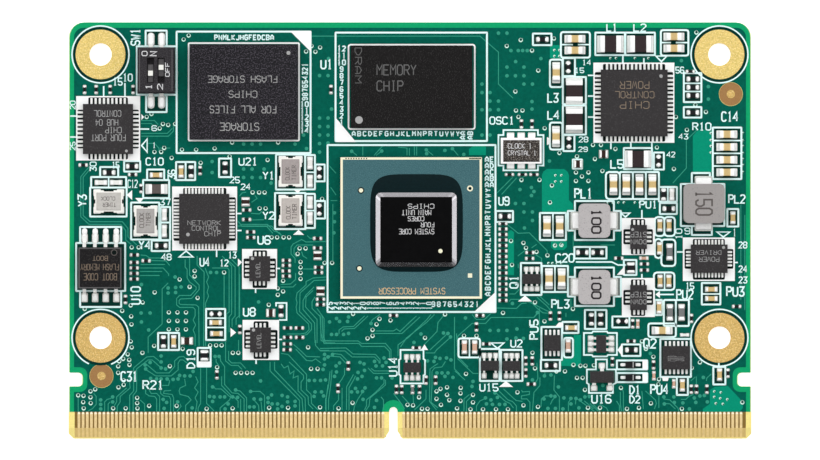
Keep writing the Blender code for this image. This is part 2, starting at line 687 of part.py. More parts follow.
def make_switch(bench):
    place = spot(*SWITCH_PLACE)
    bottom = 2 * SOLDER_GAP
    top = bottom + SWITCH_HEIGHT
    bm = bmesh.new()
    verts = add_block(bm, SWITCH_LENGTH, SWITCH_WIDTH, bottom, top)
    crest = [e for e in bm.edges if all(abs(v.co.z - top) < 1e-7 for v in e.verts)]
    bmesh.ops.bevel(
        bm, geom=crest, offset=SWITCH_EDGE, segments=1, profile=0.5, affect="EDGES"
    )
    housing = bench.solid("switch_housing", bm, "grey_plastic", place)

    slots = bmesh.new()
    slot_length = SLIDER_FOOT_LENGTH + SWITCH_TRAVEL + 2 * SLIDER_CLEARANCE
    floor = top - SLOT_DEPTH
    for side in (-1, 1):
        middle = side * SWITCH_PITCH / 2
        low = (middle - SLOT_WIDTH / 2, -slot_length / 2, floor)
        add_box(slots, low, (middle + SLOT_WIDTH / 2, slot_length / 2, top + SLOT_DEPTH))
    bench.combine(housing, bench.helper("switch_slots", slots, housing), "DIFFERENCE")

    leads = bmesh.new()
    middles = (-SWITCH_PITCH / 2, SWITCH_PITCH / 2)
    for side in (-1, 1):
        add_bent_leads(
            leads, side, SWITCH_WIDTH / 2, middles, SWITCH_LEAD_REACH, SWITCH_LEAD_RISE,
            SWITCH_LEAD_WIDTH,
        )
    bench.combine(housing, bench.helper("switch_leads", leads, housing), "UNION")

    # The first slider rests at the near end of its travel, the second at the far end.
    width = SLOT_WIDTH - 2 * SLIDER_CLEARANCE
    foot_top = SLIDER_CLEARANCE + SLIDER_FOOT_HEIGHT
    for index, side in ((1, -1), (2, 1)):
        bm = bmesh.new()
        add_block(bm, width, SLIDER_FOOT_LENGTH, SLIDER_CLEARANCE, foot_top)
        seat = place + Vector((side * SWITCH_PITCH / 2, side * SWITCH_TRAVEL / 2, floor))
        slider = bench.solid(f"switch_slider_{index}", bm, "white_plastic", seat)
        knob = bmesh.new()
        knob_width = width - PART_TAPER
        add_block(
            knob, knob_width, SLIDER_KNOB_LENGTH, foot_top - SLIDER_FOOT_HEIGHT / 2,
            foot_top + SLIDER_KNOB_HEIGHT,
        )
        bench.combine(slider, bench.helper(f"slider_knob_{index}", knob, slider), "UNION")


# Crystals and the oscillator: a ceramic base with a metal lid seamed on it


def make_crystal(bench, name, x, y, turn):
    base_top = SOLDER_GAP + CRYSTAL_HEIGHT
    bm = bmesh.new()
    add_block(bm, CRYSTAL_LENGTH, CRYSTAL_WIDTH, SOLDER_GAP, base_top)
    crystal = bench.solid(name, bm, "white_ceramic", spot(x, y), turn)
    add_lid(bench, crystal, CRYSTAL_LENGTH, CRYSTAL_WIDTH, base_top)


def add_lid(bench, package, length, width, base_top):
    lid = bmesh.new()
    add_block(
        lid, length - 2 * LID_INSET, width - 2 * LID_INSET, base_top - LID_HEIGHT,
        base_top + LID_HEIGHT,
    )
    round_upright_edges(lid, lambda middle: True, LID_CORNER, 2)
    bench.combine(package, bench.helper(package.name + "_lid", lid, package), "UNION")


def make_oscillator(bench):
    base_top = SOLDER_GAP + OSCILLATOR_HEIGHT
    bm = bmesh.new()
    add_block(bm, OSCILLATOR_LENGTH, OSCILLATOR_WIDTH, SOLDER_GAP, base_top)
    oscillator = bench.solid("oscillator", bm, "white_ceramic", spot(*OSCILLATOR_PLACE))
    pads = bmesh.new()
    outer = OSCILLATOR_WIDTH / 2 + OSCILLATOR_PAD_REACH
    for middle in lead_line(3, SWITCH_PITCH):
        half = OSCILLATOR_PAD_WIDTH / 2
        low = (middle - half, -outer, SOLDER_GAP)
        add_box(pads, low, (middle + half, outer, SOLDER_GAP + OSCILLATOR_PAD_HEIGHT))
    bench.combine(oscillator, bench.helper("oscillator_pads", pads, oscillator), "UNION")
    add_lid(bench, oscillator, OSCILLATOR_LENGTH, OSCILLATOR_WIDTH, base_top)


# Inductors and capacitors


def make_coil(bench, name, x, y, length, width, height, turn):
    """A moulded power inductor, whose terminals reach out under its two ends."""
    bm = bmesh.new()
    add_block(bm, length, width, SOLDER_GAP, SOLDER_GAP + height)
    round_upright_edges(bm, lambda middle: True, COIL_CORNER, 3)
    coil = bench.solid(name, bm, "grey_ferrite", spot(x, y))
    terminals = bmesh.new()
    span = width if turn else length
    reach = span / 2 + COIL_TERMINAL_REACH
    half = COIL_TERMINAL_WIDTH / 2
    top = SOLDER_GAP + COIL_TERMINAL_HEIGHT
    if turn:
        add_box(terminals, (-half, -reach, SOLDER_GAP), (half, reach, top))
    else:
        add_box(terminals, (-reach, -half, SOLDER_GAP), (reach, half, top))
    bench.combine(coil, bench.helper(name + "_terminals", terminals, coil), "UNION")


def chip_outline(length, height, end):
    """A chip seen from its side, from solder fillet to solder fillet, with its metal ends proud."""
    half = length / 2
    foot = half + SOLDER_FILLET
    climb = SOLDER_CLIMB * height
    body = height - CHIP_END_PROUD
    inner = half - end
    right = [(foot, 0.0), (half, climb), (half, height), (inner, height), (inner, body)]
    left = [(-x, z) for x, z in reversed(right)]
    return right + left


def make_chip(bench, name, x, y, turn, length, width, height, end, material):
    bm = bmesh.new()
    frame = Matrix((
        (1.0, 0.0, 0.0, 0.0),
        (0.0, 0.0, 1.0, 0.0),
        (0.0, 1.0, 0.0, SOLDER_GAP),
        (0.0, 0.0, 0.0, 1.0),
    ))
    add_prism(bm, chip_outline(length, height, end), width / 2, frame)
    bench.solid(name, bm, material, spot(x, y), turn)


def main():
    clear_scene()
    bench = Bench()
    make_board(bench)
    make_processor(bench)
    make_ball_chip(
        bench, "memory_chip", MEMORY_PLACE, MEMORY_LENGTH, MEMORY_WIDTH, MEMORY_THICKNESS,
        "black_plastic",
    )
    make_ball_chip(
        bench, "flash_storage_chip", STORAGE_PLACE, STORAGE_LENGTH, STORAGE_WIDTH,
        STORAGE_THICKNESS, "black_plastic",
    )
    for row in FLAT_CHIPS:
        make_flat_chip(bench, *row)
    for row in BENT_CHIPS:
        make_bent_chip(bench, *row)
    make_switch(bench)
    make_oscillator(bench)
    for row in CRYSTALS:
        make_crystal(bench, *row)
    for name, x, y in SMALL_COILS:
        make_coil(
            bench, name, x, y, SMALL_COIL_LENGTH, SMALL_COIL_WIDTH, SMALL_COIL_HEIGHT, False
        )
    for name, x, y in LARGE_COILS:
        make_coil(
            bench, name, x, y, LARGE_COIL_LENGTH, LARGE_COIL_WIDTH, LARGE_COIL_HEIGHT, True
        )
    for row in FILTER_INDUCTORS:
        make_chip(
            bench, *row, FILTER_LENGTH, FILTER_WIDTH, FILTER_HEIGHT, FILTER_END, "dark_ferrite"
        )
    for row in CAPACITORS:
        make_chip(
            bench, *row, CAPACITOR_LENGTH, CAPACITOR_WIDTH, CAPACITOR_HEIGHT, CAPACITOR_END,
            "tan_ceramic",
        )


main()
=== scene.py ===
"""Looks of the system on module: laminate, solder mask, copper, solder, silkscreen and packages."""

import math

import bmesh
import bpy
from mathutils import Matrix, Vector


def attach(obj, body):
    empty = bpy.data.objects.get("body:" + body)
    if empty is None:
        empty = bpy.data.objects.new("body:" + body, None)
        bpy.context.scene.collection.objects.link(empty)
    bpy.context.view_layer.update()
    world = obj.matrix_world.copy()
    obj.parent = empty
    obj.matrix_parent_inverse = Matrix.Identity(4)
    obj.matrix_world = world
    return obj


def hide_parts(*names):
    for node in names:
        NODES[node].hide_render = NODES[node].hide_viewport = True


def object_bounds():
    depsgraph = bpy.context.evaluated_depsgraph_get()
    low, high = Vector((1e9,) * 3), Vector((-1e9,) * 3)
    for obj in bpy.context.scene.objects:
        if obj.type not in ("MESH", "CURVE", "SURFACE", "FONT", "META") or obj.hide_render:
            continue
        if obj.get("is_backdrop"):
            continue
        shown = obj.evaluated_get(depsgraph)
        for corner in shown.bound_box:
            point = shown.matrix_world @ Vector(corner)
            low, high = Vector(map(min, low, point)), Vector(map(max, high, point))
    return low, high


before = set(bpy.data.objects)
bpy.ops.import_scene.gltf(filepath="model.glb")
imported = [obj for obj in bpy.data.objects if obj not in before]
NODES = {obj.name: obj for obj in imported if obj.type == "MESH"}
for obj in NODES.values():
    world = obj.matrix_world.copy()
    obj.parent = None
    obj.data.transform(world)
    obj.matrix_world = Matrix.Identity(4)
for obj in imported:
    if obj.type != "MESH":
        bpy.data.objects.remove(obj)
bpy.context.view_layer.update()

# Millimetres in one step of the drawing, whose places count right and towards the edge connector
STEP = 0.12
MIDDLE = (410.0, 230.5)
# The board's upper face, and the level just under it where the print on it starts
FACE = 1.2
ROOT = 1.198


def at(x, y):
    """Millimetres from the middle of the board, for a place of the drawing."""
    return (x - MIDDLE[0]) * STEP, (MIDDLE[1] - y) * STEP


def box_of(x0, y0, x1, y1):
    """The middle and the half sides in millimetres of a box of the drawing."""
    return *at((x0 + x1) / 2, (y0 + y1) / 2), (x1 - x0) / 2 * STEP, (y1 - y0) / 2 * STEP


def corners(x, y, half_x, half_y):
    return [(x + a * half_x, y + b * half_y) for a, b in ((-1, -1), (1, -1), (1, 1), (-1, 1))]


def swapped(turned, a, b):
    return (b, a) if turned else (a, b)


def rows(text):
    """Rows of numbers, parted by slashes."""
    return [[float(value) for value in row.split()] for row in text.split("/")]


def ways(text):
    """Lines of the drawing, each given as its first place and the steps from place to place."""
    lines = []
    for values in rows(text):
        x, y, line = 0.0, 0.0, []
        for across, down in zip(values[::2], values[1::2]):
            x, y = x + across, y + down
            line.append(at(x, y))
        lines.append(line)
    return lines


# Materials

BLACK, WHITE = (0.0, 0.0, 0.0, 1.0), (1.0, 1.0, 1.0, 1.0)


def linear(colour):
    return [((value / 255 + 0.055) / 1.055) ** 2.4 if value > 10 else value / 255 / 12.92
            for value in colour] + [1.0]


def shade(colour, share):
    return [max(0.0, min(1.0, channel * share)) for channel in linear(colour)[:3]] + [1.0]


def add_node(tree, kind, sources=(), values=(), **settings):
    """A node with its settings, the sources of its linked sockets and the values of others."""
    node = tree.nodes.new("ShaderNode" + kind)
    for name, value in settings.items():
        setattr(node, name, value)
    for socket, value in dict(values).items():
        node.inputs[socket].default_value = value
    for socket, source in dict(sources).items():
        tree.links.new(source, node.inputs[socket])
    return node


def ramp(tree, source, *stops):
    node = add_node(tree, "ValToRGB", {"Fac": source})
    for element, (position, colour) in zip(node.color_ramp.elements, stops):
        element.position, element.color = position, colour
    return node.outputs["Color"]


def grained(tree, place, colour, spread, grain, rough, metal=0.0, specks=None, relief=0.25,
            sheen=0.08):
    """Nodes that give one surface its grained colour, roughness and relief."""
    noise = add_node(tree, "TexNoise", {"Vector": place}, {"Scale": 1000.0 / grain, "Detail": 3.0})
    tone = ramp(tree, noise.outputs["Fac"], (0.3, shade(colour, 1.0 - spread)),
                (0.7, shade(colour, 1.0 + spread)))
    if specks:
        tint, share, size = specks
        dots = add_node(tree, "TexNoise", {"Vector": place},
                        {"Scale": 1000.0 / size, "Detail": 1.0})
        cut = ramp(tree, dots.outputs["Fac"], (1.0 - share, BLACK), (1.05 - share, WHITE))
        tone = add_node(tree, "Mix", {"Factor": cut, "A": tone}, {"B": linear(tint)},
                        data_type="RGBA").outputs["Result"]
    wear = add_node(tree, "TexNoise", {"Vector": place}, {"Scale": 400.0 / grain, "Detail": 4.0})
    span = add_node(tree, "MapRange", {"Value": wear.outputs["Fac"]},
                    {"To Min": max(0.05, rough - 0.10), "To Max": min(1.0, rough + 0.10)})
    return dict(colour=tone, rough=span.outputs["Result"], metal=metal, sheen=sheen,
                height=noise.outputs["Fac"], relief=relief)


def new_material(name):
    material = bpy.data.materials.new(name)
    material.use_nodes = True
    tree = material.node_tree
    place = add_node(tree, "TexCoord").outputs["Object"]
    return material, tree, tree.nodes["Principled BSDF"], place


def add_relief(tree, shader, made):
    shader.inputs["Specular IOR Level"].default_value = made["sheen"]
    bump = add_node(tree, "Bump", {"Height": made["height"]},
                    {"Strength": made["relief"], "Distance": 0.00001})
    tree.links.new(bump.outputs["Normal"], shader.inputs["Normal"])


def surface(name, **facts):
    material, tree, shader, place = new_material(name)
    made = grained(tree, place, **facts)
    tree.links.new(made["colour"], shader.inputs["Base Color"])
    tree.links.new(made["rough"], shader.inputs["Roughness"])
    shader.inputs["Metallic"].default_value = made["metal"]
    add_relief(tree, shader, made)
    return material


def two_tone(name, low, high, inside, outside):
    """One finish inside a box given in millimetres, and another outside it."""
    material, tree, shader, place = new_material(name)
    inner, outer = grained(tree, place, **inside), grained(tree, place, **outside)
    middle = [(a + b) / 2000.0 for a, b in zip(low, high)]
    half = [(b - a) / 2000.0 for a, b in zip(low, high)]
    shift = add_node(tree, "VectorMath", {0: place}, {1: middle}, operation="SUBTRACT")
    reach = add_node(tree, "VectorMath", {0: shift.outputs[0]}, operation="ABSOLUTE")
    past = add_node(tree, "VectorMath", {0: reach.outputs[0]}, {1: half}, operation="SUBTRACT")
    axes = add_node(tree, "SeparateXYZ", {0: past.outputs[0]}).outputs
    worst = axes[0]
    for axis in (1, 2):
        worst = add_node(tree, "Math", {0: worst, 1: axes[axis]}, operation="MAXIMUM").outputs[0]
    beyond = add_node(tree, "Math", {0: worst}, {1: 0.0}, operation="GREATER_THAN").outputs[0]
    tone = add_node(tree, "Mix", {"Factor": beyond, "A": inner["colour"], "B": outer["colour"]},
                    data_type="RGBA")
    rough = add_node(tree, "Mix", {"Factor": beyond, "A": inner["rough"], "B": outer["rough"]})
    metal = add_node(tree, "MapRange", {"Value": beyond},
                     {"To Min": inner["metal"], "To Max": outer["metal"]})
    for socket, node in (("Base Color", tone), ("Roughness", rough), ("Metallic", metal)):
        tree.links.new(node.outputs["Result"], shader.inputs[socket])
    add_relief(tree, shader, inner)
    return material


# Outlines


def arc(x, y, radius, start, end, steps):
    angles = [math.radians(start + (end - start) * step / steps) for step in range(steps + 1)]
    return [(x + radius * math.cos(a), y + radius * math.sin(a)) for a in angles]


def circle(x, y, radius, count):
    return arc(x, y, radius, 0, 360, count)[:-1]


def rounded(x, y, half_x, half_y, radius, steps=2):
    """The outline of a rectangle with rounded corners."""
    radius = max(min(radius, half_x, half_y), 0.001)
    points = []
    for along, across, start in ((1, 1, 0), (-1, 1, 90), (-1, -1, 180), (1, -1, 270)):
        points += arc(x + along * (half_x - radius), y + across * (half_y - radius), radius,
                      start, start + 90, steps)
    return points


def sides_of(points, width, closed):
    """The two edges of a line of that width, mitred where it bends."""
    left, right = [], []
    for index, (x, y) in enumerate(points):
        runs = []
        if closed or index > 0:
            runs.append((x - points[index - 1][0], y - points[index - 1][1]))
        if closed or index < len(points) - 1:
            after = points[(index + 1) % len(points)]
            runs.append((after[0] - x, after[1] - y))
        runs = [(a / math.hypot(a, b), b / math.hypot(a, b)) for a, b in runs]
        run = (sum(way[0] for way in runs), sum(way[1] for way in runs))
        size = math.hypot(*run)
        if size < 1e-6:
            run, size = runs[0], 1.0
        normal = (-run[1] / size, run[0] / size)
        first = (-runs[0][1], runs[0][0])
        reach = width / 2 / max(0.5, normal[0] * first[0] + normal[1] * first[1])
        left.append((x + normal[0] * reach, y + normal[1] * reach))
        right.append((x - normal[0] * reach, y - normal[1] * reach))
    return left, right


class Piece:
    """Closed solids in millimetres that make one object of the scene."""

    def __init__(self, name, slot, stands_for=()):
        self.name, self.slot, self.stands_for = name, slot, stands_for
        self.points, self.faces, self.looks, self.finishes = [], [], [], []

    def add(self, points, faces, look):
        if look not in self.finishes:
            self.finishes.append(look)
        first = len(self.points)
        self.points += points
        self.faces += [[first + index for index in face] for face in faces]
        self.looks += [self.finishes.index(look)] * len(faces)

    def loft(self, rings, look):
        """Outlines of equal count, one above the other, joined and closed."""
        count = len(rings[0])
        faces = [list(range(count)), list(range((len(rings) - 1) * count, len(rings) * count))]
        for level in range(len(rings) - 1):
            for index in range(count):
                a = level * count + index
                b = level * count + (index + 1) % count
                faces.append([a, b, b + count, a + count])
        self.add([point for ring in rings for point in ring], faces, look)

    def plate(self, outline, low, high, look):
        self.loft([[(x, y, z) for x, y in outline] for z in (low, high)], look)

    def pillow(self, x, y, half_x, half_y, radius, levels, look, steps=2):
        """A rounded block whose outline pulls in by the inset of each level."""
        outlines = [(rounded(x, y, half_x - inset, half_y - inset, radius - inset * 0.5, steps), z)
                    for inset, z in levels]
        self.loft([[(a, b, z) for a, b in outline] for outline, z in outlines], look)

    def ring(self, outer, inner, low, high, look, closed=True):
        """A band between two outlines of equal count, which runs on from its end where closed."""
        count = len(outer)
        faces = [] if closed else [[level * count + end for level in range(4)]
                                   for end in (0, count - 1)]
        for level in range(4):
            below, above = level * count, (level + 1) % 4 * count
            for index in range(count if closed else count - 1):
                after = (index + 1) % count
                faces.append([below + index, below + after, above + after, above + index])
        sides = ((outer, low), (outer, high), (inner, high), (inner, low))
        self.add([(x, y, z) for side, z in sides for x, y in side], faces, look)

    def line(self, points, width, low, high, look, closed=False):
        self.ring(*sides_of(points, width, closed), low, high, look, closed)

    def make(self, smooth=False):
        mesh = bpy.data.meshes.new(self.name)
        points = [[value / 1000 for value in point] for point in self.points]
        mesh.from_pydata(points, [], self.faces)
        for look in self.finishes:
            mesh.materials.append(FINISHES[look])
        mesh.polygons.foreach_set("material_index", self.looks)
        work = bmesh.new()
        work.from_mesh(mesh)
        bmesh.ops.recalc_face_normals(work, faces=work.faces)
        work.to_mesh(mesh)
        work.free()
        obj = bpy.data.objects.new(self.name, mesh)
        bpy.context.scene.collection.objects.link(obj)
        if smooth:
            mesh.shade_smooth()
            mesh.set_sharp_from_angle(angle=math.radians(35))
        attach(obj, "module")
        if self.stands_for:
            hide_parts(*self.stands_for)
        return obj


def sheet(piece, outline, holes, low, high, look):
    """A flat sheet with holes, filled between its outlines."""
    curve = bpy.data.curves.new("outline", "CURVE")
    curve.dimensions = "2D"
    curve.fill_mode = "BOTH"
    curve.extrude = (high - low) / 2
    for line in [outline] + holes:
        spline = curve.splines.new("POLY")
        spline.points.add(len(line) - 1)
        for point, (x, y) in zip(spline.points, line):
            point.co = (x, y, 0.0, 1.0)
        spline.use_cyclic_u = True
    holder = bpy.data.objects.new("outline", curve)
    bpy.context.scene.collection.objects.link(holder)
    shape = holder.evaluated_get(bpy.context.evaluated_depsgraph_get()).to_mesh()
    work = bmesh.new()
    work.from_mesh(shape)
    bmesh.ops.remove_doubles(work, verts=work.verts, dist=0.0005)
    work.verts.index_update()
    middle = (low + high) / 2
    points = [(vert.co.x, vert.co.y, middle + vert.co.z) for vert in work.verts]
    faces = [[vert.index for vert in face.verts] for face in work.faces]
    work.free()
    bpy.data.objects.remove(holder)
    piece.add(points, faces, look)


# Lettering in single strokes on a grid of four by six
STROKES = {
    "0": "10 30 41 45 36 16 05 01 10", "1": "15 26 20/10 30", "2": "05 16 36 45 44 00 40",
    "3": "06 46 23 33 42 41 30 10 01", "4": "30 36 02 42", "5": "46 06 03 33 42 41 30 10 01",
    "6": "45 36 16 05 01 10 30 41 42 33 03", "7": "06 46 20",
    "8": "13 04 05 16 36 45 44 33 13 02 01 10 30 41 42 33", "9": "01 10 30 41 45 36 16 05 04 13 43",
    "A": "00 04 26 44 40/02 42", "B": "03 33 44 45 36 06 00 30 41 42 33",
    "C": "45 36 16 05 01 10 30 41", "D": "00 06 26 44 42 20 00", "E": "46 06 00 40/03 33",
    "F": "46 06 00/03 33", "G": "45 36 16 05 01 10 30 41 43 23", "H": "00 06/40 46/03 43",
    "I": "10 30/20 26/16 36", "J": "46 41 30 10 01", "K": "00 06/46 03 40", "L": "06 00 40",
    "M": "00 06 23 46 40", "N": "00 06 40 46", "O": "10 30 41 45 36 16 05 01 10",
    "P": "00 06 36 45 44 33 03", "Q": "10 30 41 45 36 16 05 01 10/22 40",
    "R": "00 06 36 45 44 33 03/23 40", "S": "45 36 16 05 04 13 33 42 41 30 10 01",
    "T": "06 46/26 20", "U": "06 01 10 30 41 46", "V": "06 20 46", "W": "06 10 24 30 46",
    "Y": "06 23 46/23 20",
}


def write(piece, words, x0, y0, x1, y1, turn, low, high, look, weight):
    """Words that fill a box of the drawing, turned by quarter turns."""
    x, y, half_width, half_height = box_of(x0, y0, x1, y1)
    width, height = swapped(turn % 180 == 90, 2 * half_width, 2 * half_height)
    cos, sin = math.cos(math.radians(turn)), math.sin(math.radians(turn))
    advance = width / (len(words) - 0.25)
    for index, letter in enumerate(words):
        start = -width / 2 + advance * index
        for stroke in STROKES[letter].split("/") if letter != " " else ():
            points = []
            for pair in stroke.split():
                u = start + int(pair[0]) / 4 * advance * 0.75
                v = (int(pair[1]) / 6 - 0.5) * height
                points.append((x + u * cos - v * sin, y + u * sin + v * cos))
            piece.line(points, weight * min(height, advance * 1.4), low, high, look)


def write_rows(piece, text, *rest):
    """Rows of words, each with its box and its turn."""
    for row in text.split("/"):
        *words, x0, y0, x1, y1, turn = row.split()
        write(piece, " ".join(words), *(float(value) for value in (x0, y0, x1, y1, turn)), *rest)


def finish(red, green, blue, spread, grain, rough, **more):
    """A colour as seen in daylight, then how it varies and shines."""
    return dict(colour=(red, green, blue), spread=spread, grain=grain, rough=rough, **more)


FACTS = {
    "laminate": finish(250, 230, 142, 0.08, 0.10, 0.50),
    "laminate_dark": finish(160, 120, 75, 0.12, 0.12, 0.50),
    "rim": finish(16, 160, 104, 0.07, 0.30, 0.42, sheen=0.03),
    "rim_edge": finish(228, 244, 196, 0.06, 0.20, 0.50),
    "mask": finish(2, 91, 76, 0.12, 0.35, 0.42, sheen=0.02),
    "plane": finish(6, 142, 112, 0.07, 0.25, 0.42, sheen=0.02),
    "trace": finish(50, 150, 126, 0.10, 0.20, 0.42, sheen=0.03),
    "via_ring_highlight": finish(210, 246, 232, 0.10, 0.08, 0.40),
    "via_hole_shade": finish(4, 62, 54, 0.20, 0.08, 0.45),
    "via_filled": finish(52, 150, 126, 0.10, 0.10, 0.42, sheen=0.03),
    "opening": finish(3, 50, 42, 0.18, 0.12, 0.50, sheen=0.03),
    "gap_painted_shade": finish(12, 22, 20, 0.20, 0.08, 0.55, sheen=0.03),
    "silk": finish(252, 254, 253, 0.04, 0.08, 0.60),
    "ink": finish(226, 255, 252, 0.04, 0.08, 0.60),
    "gold": finish(198, 164, 96, 0.18, 0.18, 0.40, metal=0.35,
                   specks=((226, 198, 134), 0.44, 0.15)),
    "gold_pale": finish(212, 186, 108, 0.16, 0.18, 0.40, metal=0.35,
                        specks=((236, 214, 150), 0.44, 0.15)),
    "finger": finish(222, 196, 142, 0.10, 0.30, 0.34, metal=0.35),
    "finger_bevel": finish(240, 210, 142, 0.08, 0.30, 0.34, metal=0.25),
    "finger_top": finish(248, 236, 204, 0.05, 0.20, 0.34, metal=0.20),
    "bed": finish(132, 104, 50, 0.14, 0.12, 0.45),
    "bed_bevel": finish(214, 184, 116, 0.12, 0.12, 0.45),
    "tin": finish(252, 252, 250, 0.06, 0.16, 0.36, metal=0.10),
    "tin_grey": finish(196, 198, 194, 0.14, 0.14, 0.38, metal=0.30),
    "pad_dim": finish(112, 118, 114, 0.12, 0.14, 0.45, metal=0.10),
    "black": finish(30, 30, 32, 0.25, 0.08, 0.50),
    "brown": finish(52, 36, 32, 0.16, 0.08, 0.50),
    "umber": finish(94, 86, 84, 0.16, 0.08, 0.50),
    "grey": finish(118, 120, 120, 0.14, 0.08, 0.50),
    "tan": finish(208, 180, 124, 0.08, 0.10, 0.48),
    "cream": finish(246, 236, 206, 0.05, 0.10, 0.45),
    "pink": finish(206, 168, 146, 0.08, 0.10, 0.48),
    "pale": finish(232, 232, 228, 0.08, 0.10, 0.45),
    "ferrite": finish(52, 42, 44, 0.22, 0.07, 0.55),
    "mark": finish(168, 168, 168, 0.12, 0.06, 0.60),
    "mark_dim": finish(106, 106, 106, 0.12, 0.06, 0.60),
    "mark_frame": finish(96, 95, 96, 0.12, 0.06, 0.55),
    "mark_pale": finish(216, 216, 218, 0.08, 0.06, 0.60),
    "mark_brown": finish(138, 122, 106, 0.12, 0.06, 0.60),
    "mark_gold": finish(226, 192, 142, 0.10, 0.06, 0.60),
    "mark_dark": finish(94, 88, 86, 0.10, 0.06, 0.60),
    "mould": finish(60, 58, 59, 0.16, 0.06, 0.52),
    "mark_black": finish(46, 42, 44, 0.14, 0.06, 0.60, sheen=0.03),
    "mark_cream": finish(240, 238, 208, 0.06, 0.08, 0.60),
    "underfill": finish(6, 27, 30, 0.14, 0.30, 0.35, sheen=0.04),
    "solder_ball": finish(190, 192, 192, 0.10, 0.15, 0.30, metal=0.6),
}
FINISHES = {name: surface(name, **facts) for name, facts in FACTS.items()}


# Laminate, solder mask and copper planes

LENGTH, WIDTH = 82.0, 50.0
CORNER, TIP = 1.8, -25.0
HOLE_RADIUS, RING_RADIUS = 1.36, 3.0
HOLE_PLACES = [(x, y) for x in (-37.16, 37.16) for y in (21.14, -12.88)]
# Depth, width, inner radius and level of the side notches
NOTCH = (1.6, 1.65, 0.5, TIP + 7.1)
# Place, half width and depth of the key, and the width and length of its flare
KEY = (-2.0, 0.5, 3.8, 0.6, 0.9)
FIDUCIALS = [at(731.0, 94.0), at(101.3, 376.0)]


def board_outline(inset, bottom, key_inset):
    """The board's outline drawn in by an inset, which ends at a level above the tip or at it."""
    half, top, radius = LENGTH / 2 - inset, WIDTH / 2 - inset, CORNER - inset
    depth, span, notch_radius, level = NOTCH
    x, half_key, deep, flare, flare_length = KEY
    inner, rise, bend = half - depth, span / 2 + inset, notch_radius + inset * 0.6
    at_tip = bottom <= TIP + 0.001
    wide = half_key + key_inset
    right = arc(half - radius, top - radius, radius, 90, 0, 6) + [(half, level + rise)]
    right += arc(inner + bend, level + rise - bend, bend, 90, 180, 4)
    right += arc(inner + bend, level - rise + bend, bend, 180, 270, 4) + [(half, level - rise)]
    if at_tip:
        right += [(half, bottom + flare), (half - flare, bottom)]
        key = [(wide + flare, bottom), (wide, bottom + flare_length)]
    else:
        right.append((half, bottom))
        key = [(wide, bottom)]
    points = right + [(x + a, b) for a, b in key] + arc(x, TIP + deep - half_key, wide, 0, 180, 10)
    return points + [(x - a, b) for a, b in reversed(key)] + [(-a, b) for a, b in reversed(right)]


def hole_outlines(radius, fiducial):
    lines = [circle(x, y, radius, 32) for x, y in HOLE_PLACES]
    return lines + [circle(x, y, fiducial, 24) for x, y in FIDUCIALS if fiducial]


core = Piece("board_laminate", "board", ("circuit_board",))
sheet(core, board_outline(0.0, TIP, 0.0), hole_outlines(HOLE_RADIUS, 0), 0.04, 1.16, "laminate")
mask = Piece("solder_mask", "board")
level = at(0, 412)[1]
edge = board_outline(0.0, level, 0.0)
drawn_in = [(x * 0.9968, y) for x, y in edge]
field = board_outline(0.66, level, 0.85)
# Each layer on both faces: outline, hole and fiducial radius, low and high level and finish
for outline, hole, spot, low, high, look in (
    (edge, 2.97, 1.45, 1.155, 1.168, "rim_edge"), (edge, 2.97, 0, 0.03, 0.045, "rim_edge"),
    (drawn_in, 2.95, 1.44, 1.16, 1.185, "rim"), (drawn_in, 2.95, 0, 0.015, 0.038, "rim"),
    (field, 3.1, 1.44, 1.185, FACE, "mask"), (field, 3.1, 0, 0.0, 0.015, "mask"),
):
    sheet(mask, outline, hole_outlines(hole, spot), low, high, look)

# Brighter copper areas under the mask
PLANES = """542 212 0 -37 1.5 -3.5 3.5 -2.5 17 0 3.5 2.5 1.5 3.5 0 25 4 4 0 8/551 238 16 0 0 9 -3 3
-10 0 -3 -3/550 45 12 0 0 13 -12 0/693 172 0 -36 5 -6 15 0 0 42/508 275 0 -43 3 -2 3 2 0 43/574 335
7 0 0 31 -21 0 0 -10 10 -2 4 -5/469 155 0 -6 4 -3 13 0 0 9/703 412 0 -3 7 -5 0 -14 5 -3 13 -1 15 16
0 6 -3 4"""
for outline in ways(PLANES):
    mask.plate(outline, 1.19, 1.203, "plane")

plating = Piece("plated_holes", "board")
# Round each hole the outermost dark ring is painted shade between the gold and the mask
for x, y in HOLE_PLACES:
    # The upper holes take a paler copy of the gold: painted light
    look = "gold_pale" if y > 0 else "gold"
    for outer, inner, low, high, look in (
        (RING_RADIUS, HOLE_RADIUS, 1.16, 1.197, look),
        (RING_RADIUS, HOLE_RADIUS, 0.003, 0.04, look),
        (1.40, 1.35, 0.0, FACE, look), (3.32, 2.99, 1.19, 1.2024, "opening"),
    ):
        plating.ring(circle(x, y, outer, 40), circle(x, y, inner, 40), low, high, look)
for x, y in FIDUCIALS:
    plating.plate(circle(x, y, 1.40, 24), 1.155, 1.165, "laminate_dark")
    plating.plate(circle(x, y, 0.50, 20), 1.165, 1.195, "gold")
plating.make()


# Edge connector

BEVEL, DROP = 1.3, 0.4
PITCH, FIRST = 0.5, 1.25
# Distance from the tip and half width along a contact
CONTACT = [(0.14, 0.145), (BEVEL, 0.155), (2.95, 0.165), (3.10, 0.155), (3.22, 0.09)]


def contact_places(upper):
    """The middles of the contacts: one fewer each side on the upper face."""
    more = 0 if upper else 1
    return [KEY[0] + side * (FIRST - more * PITCH / 2 + PITCH * index)
            for side, count in ((-1, 74 + more), (1, 82 + more)) for index in range(count)]


def bevelled(from_tip, upper):
    """The height of the tongue's face at a distance from its tip."""
    drop = max(0.0, (BEVEL - from_tip) / BEVEL * DROP)
    return FACE - drop if upper else drop


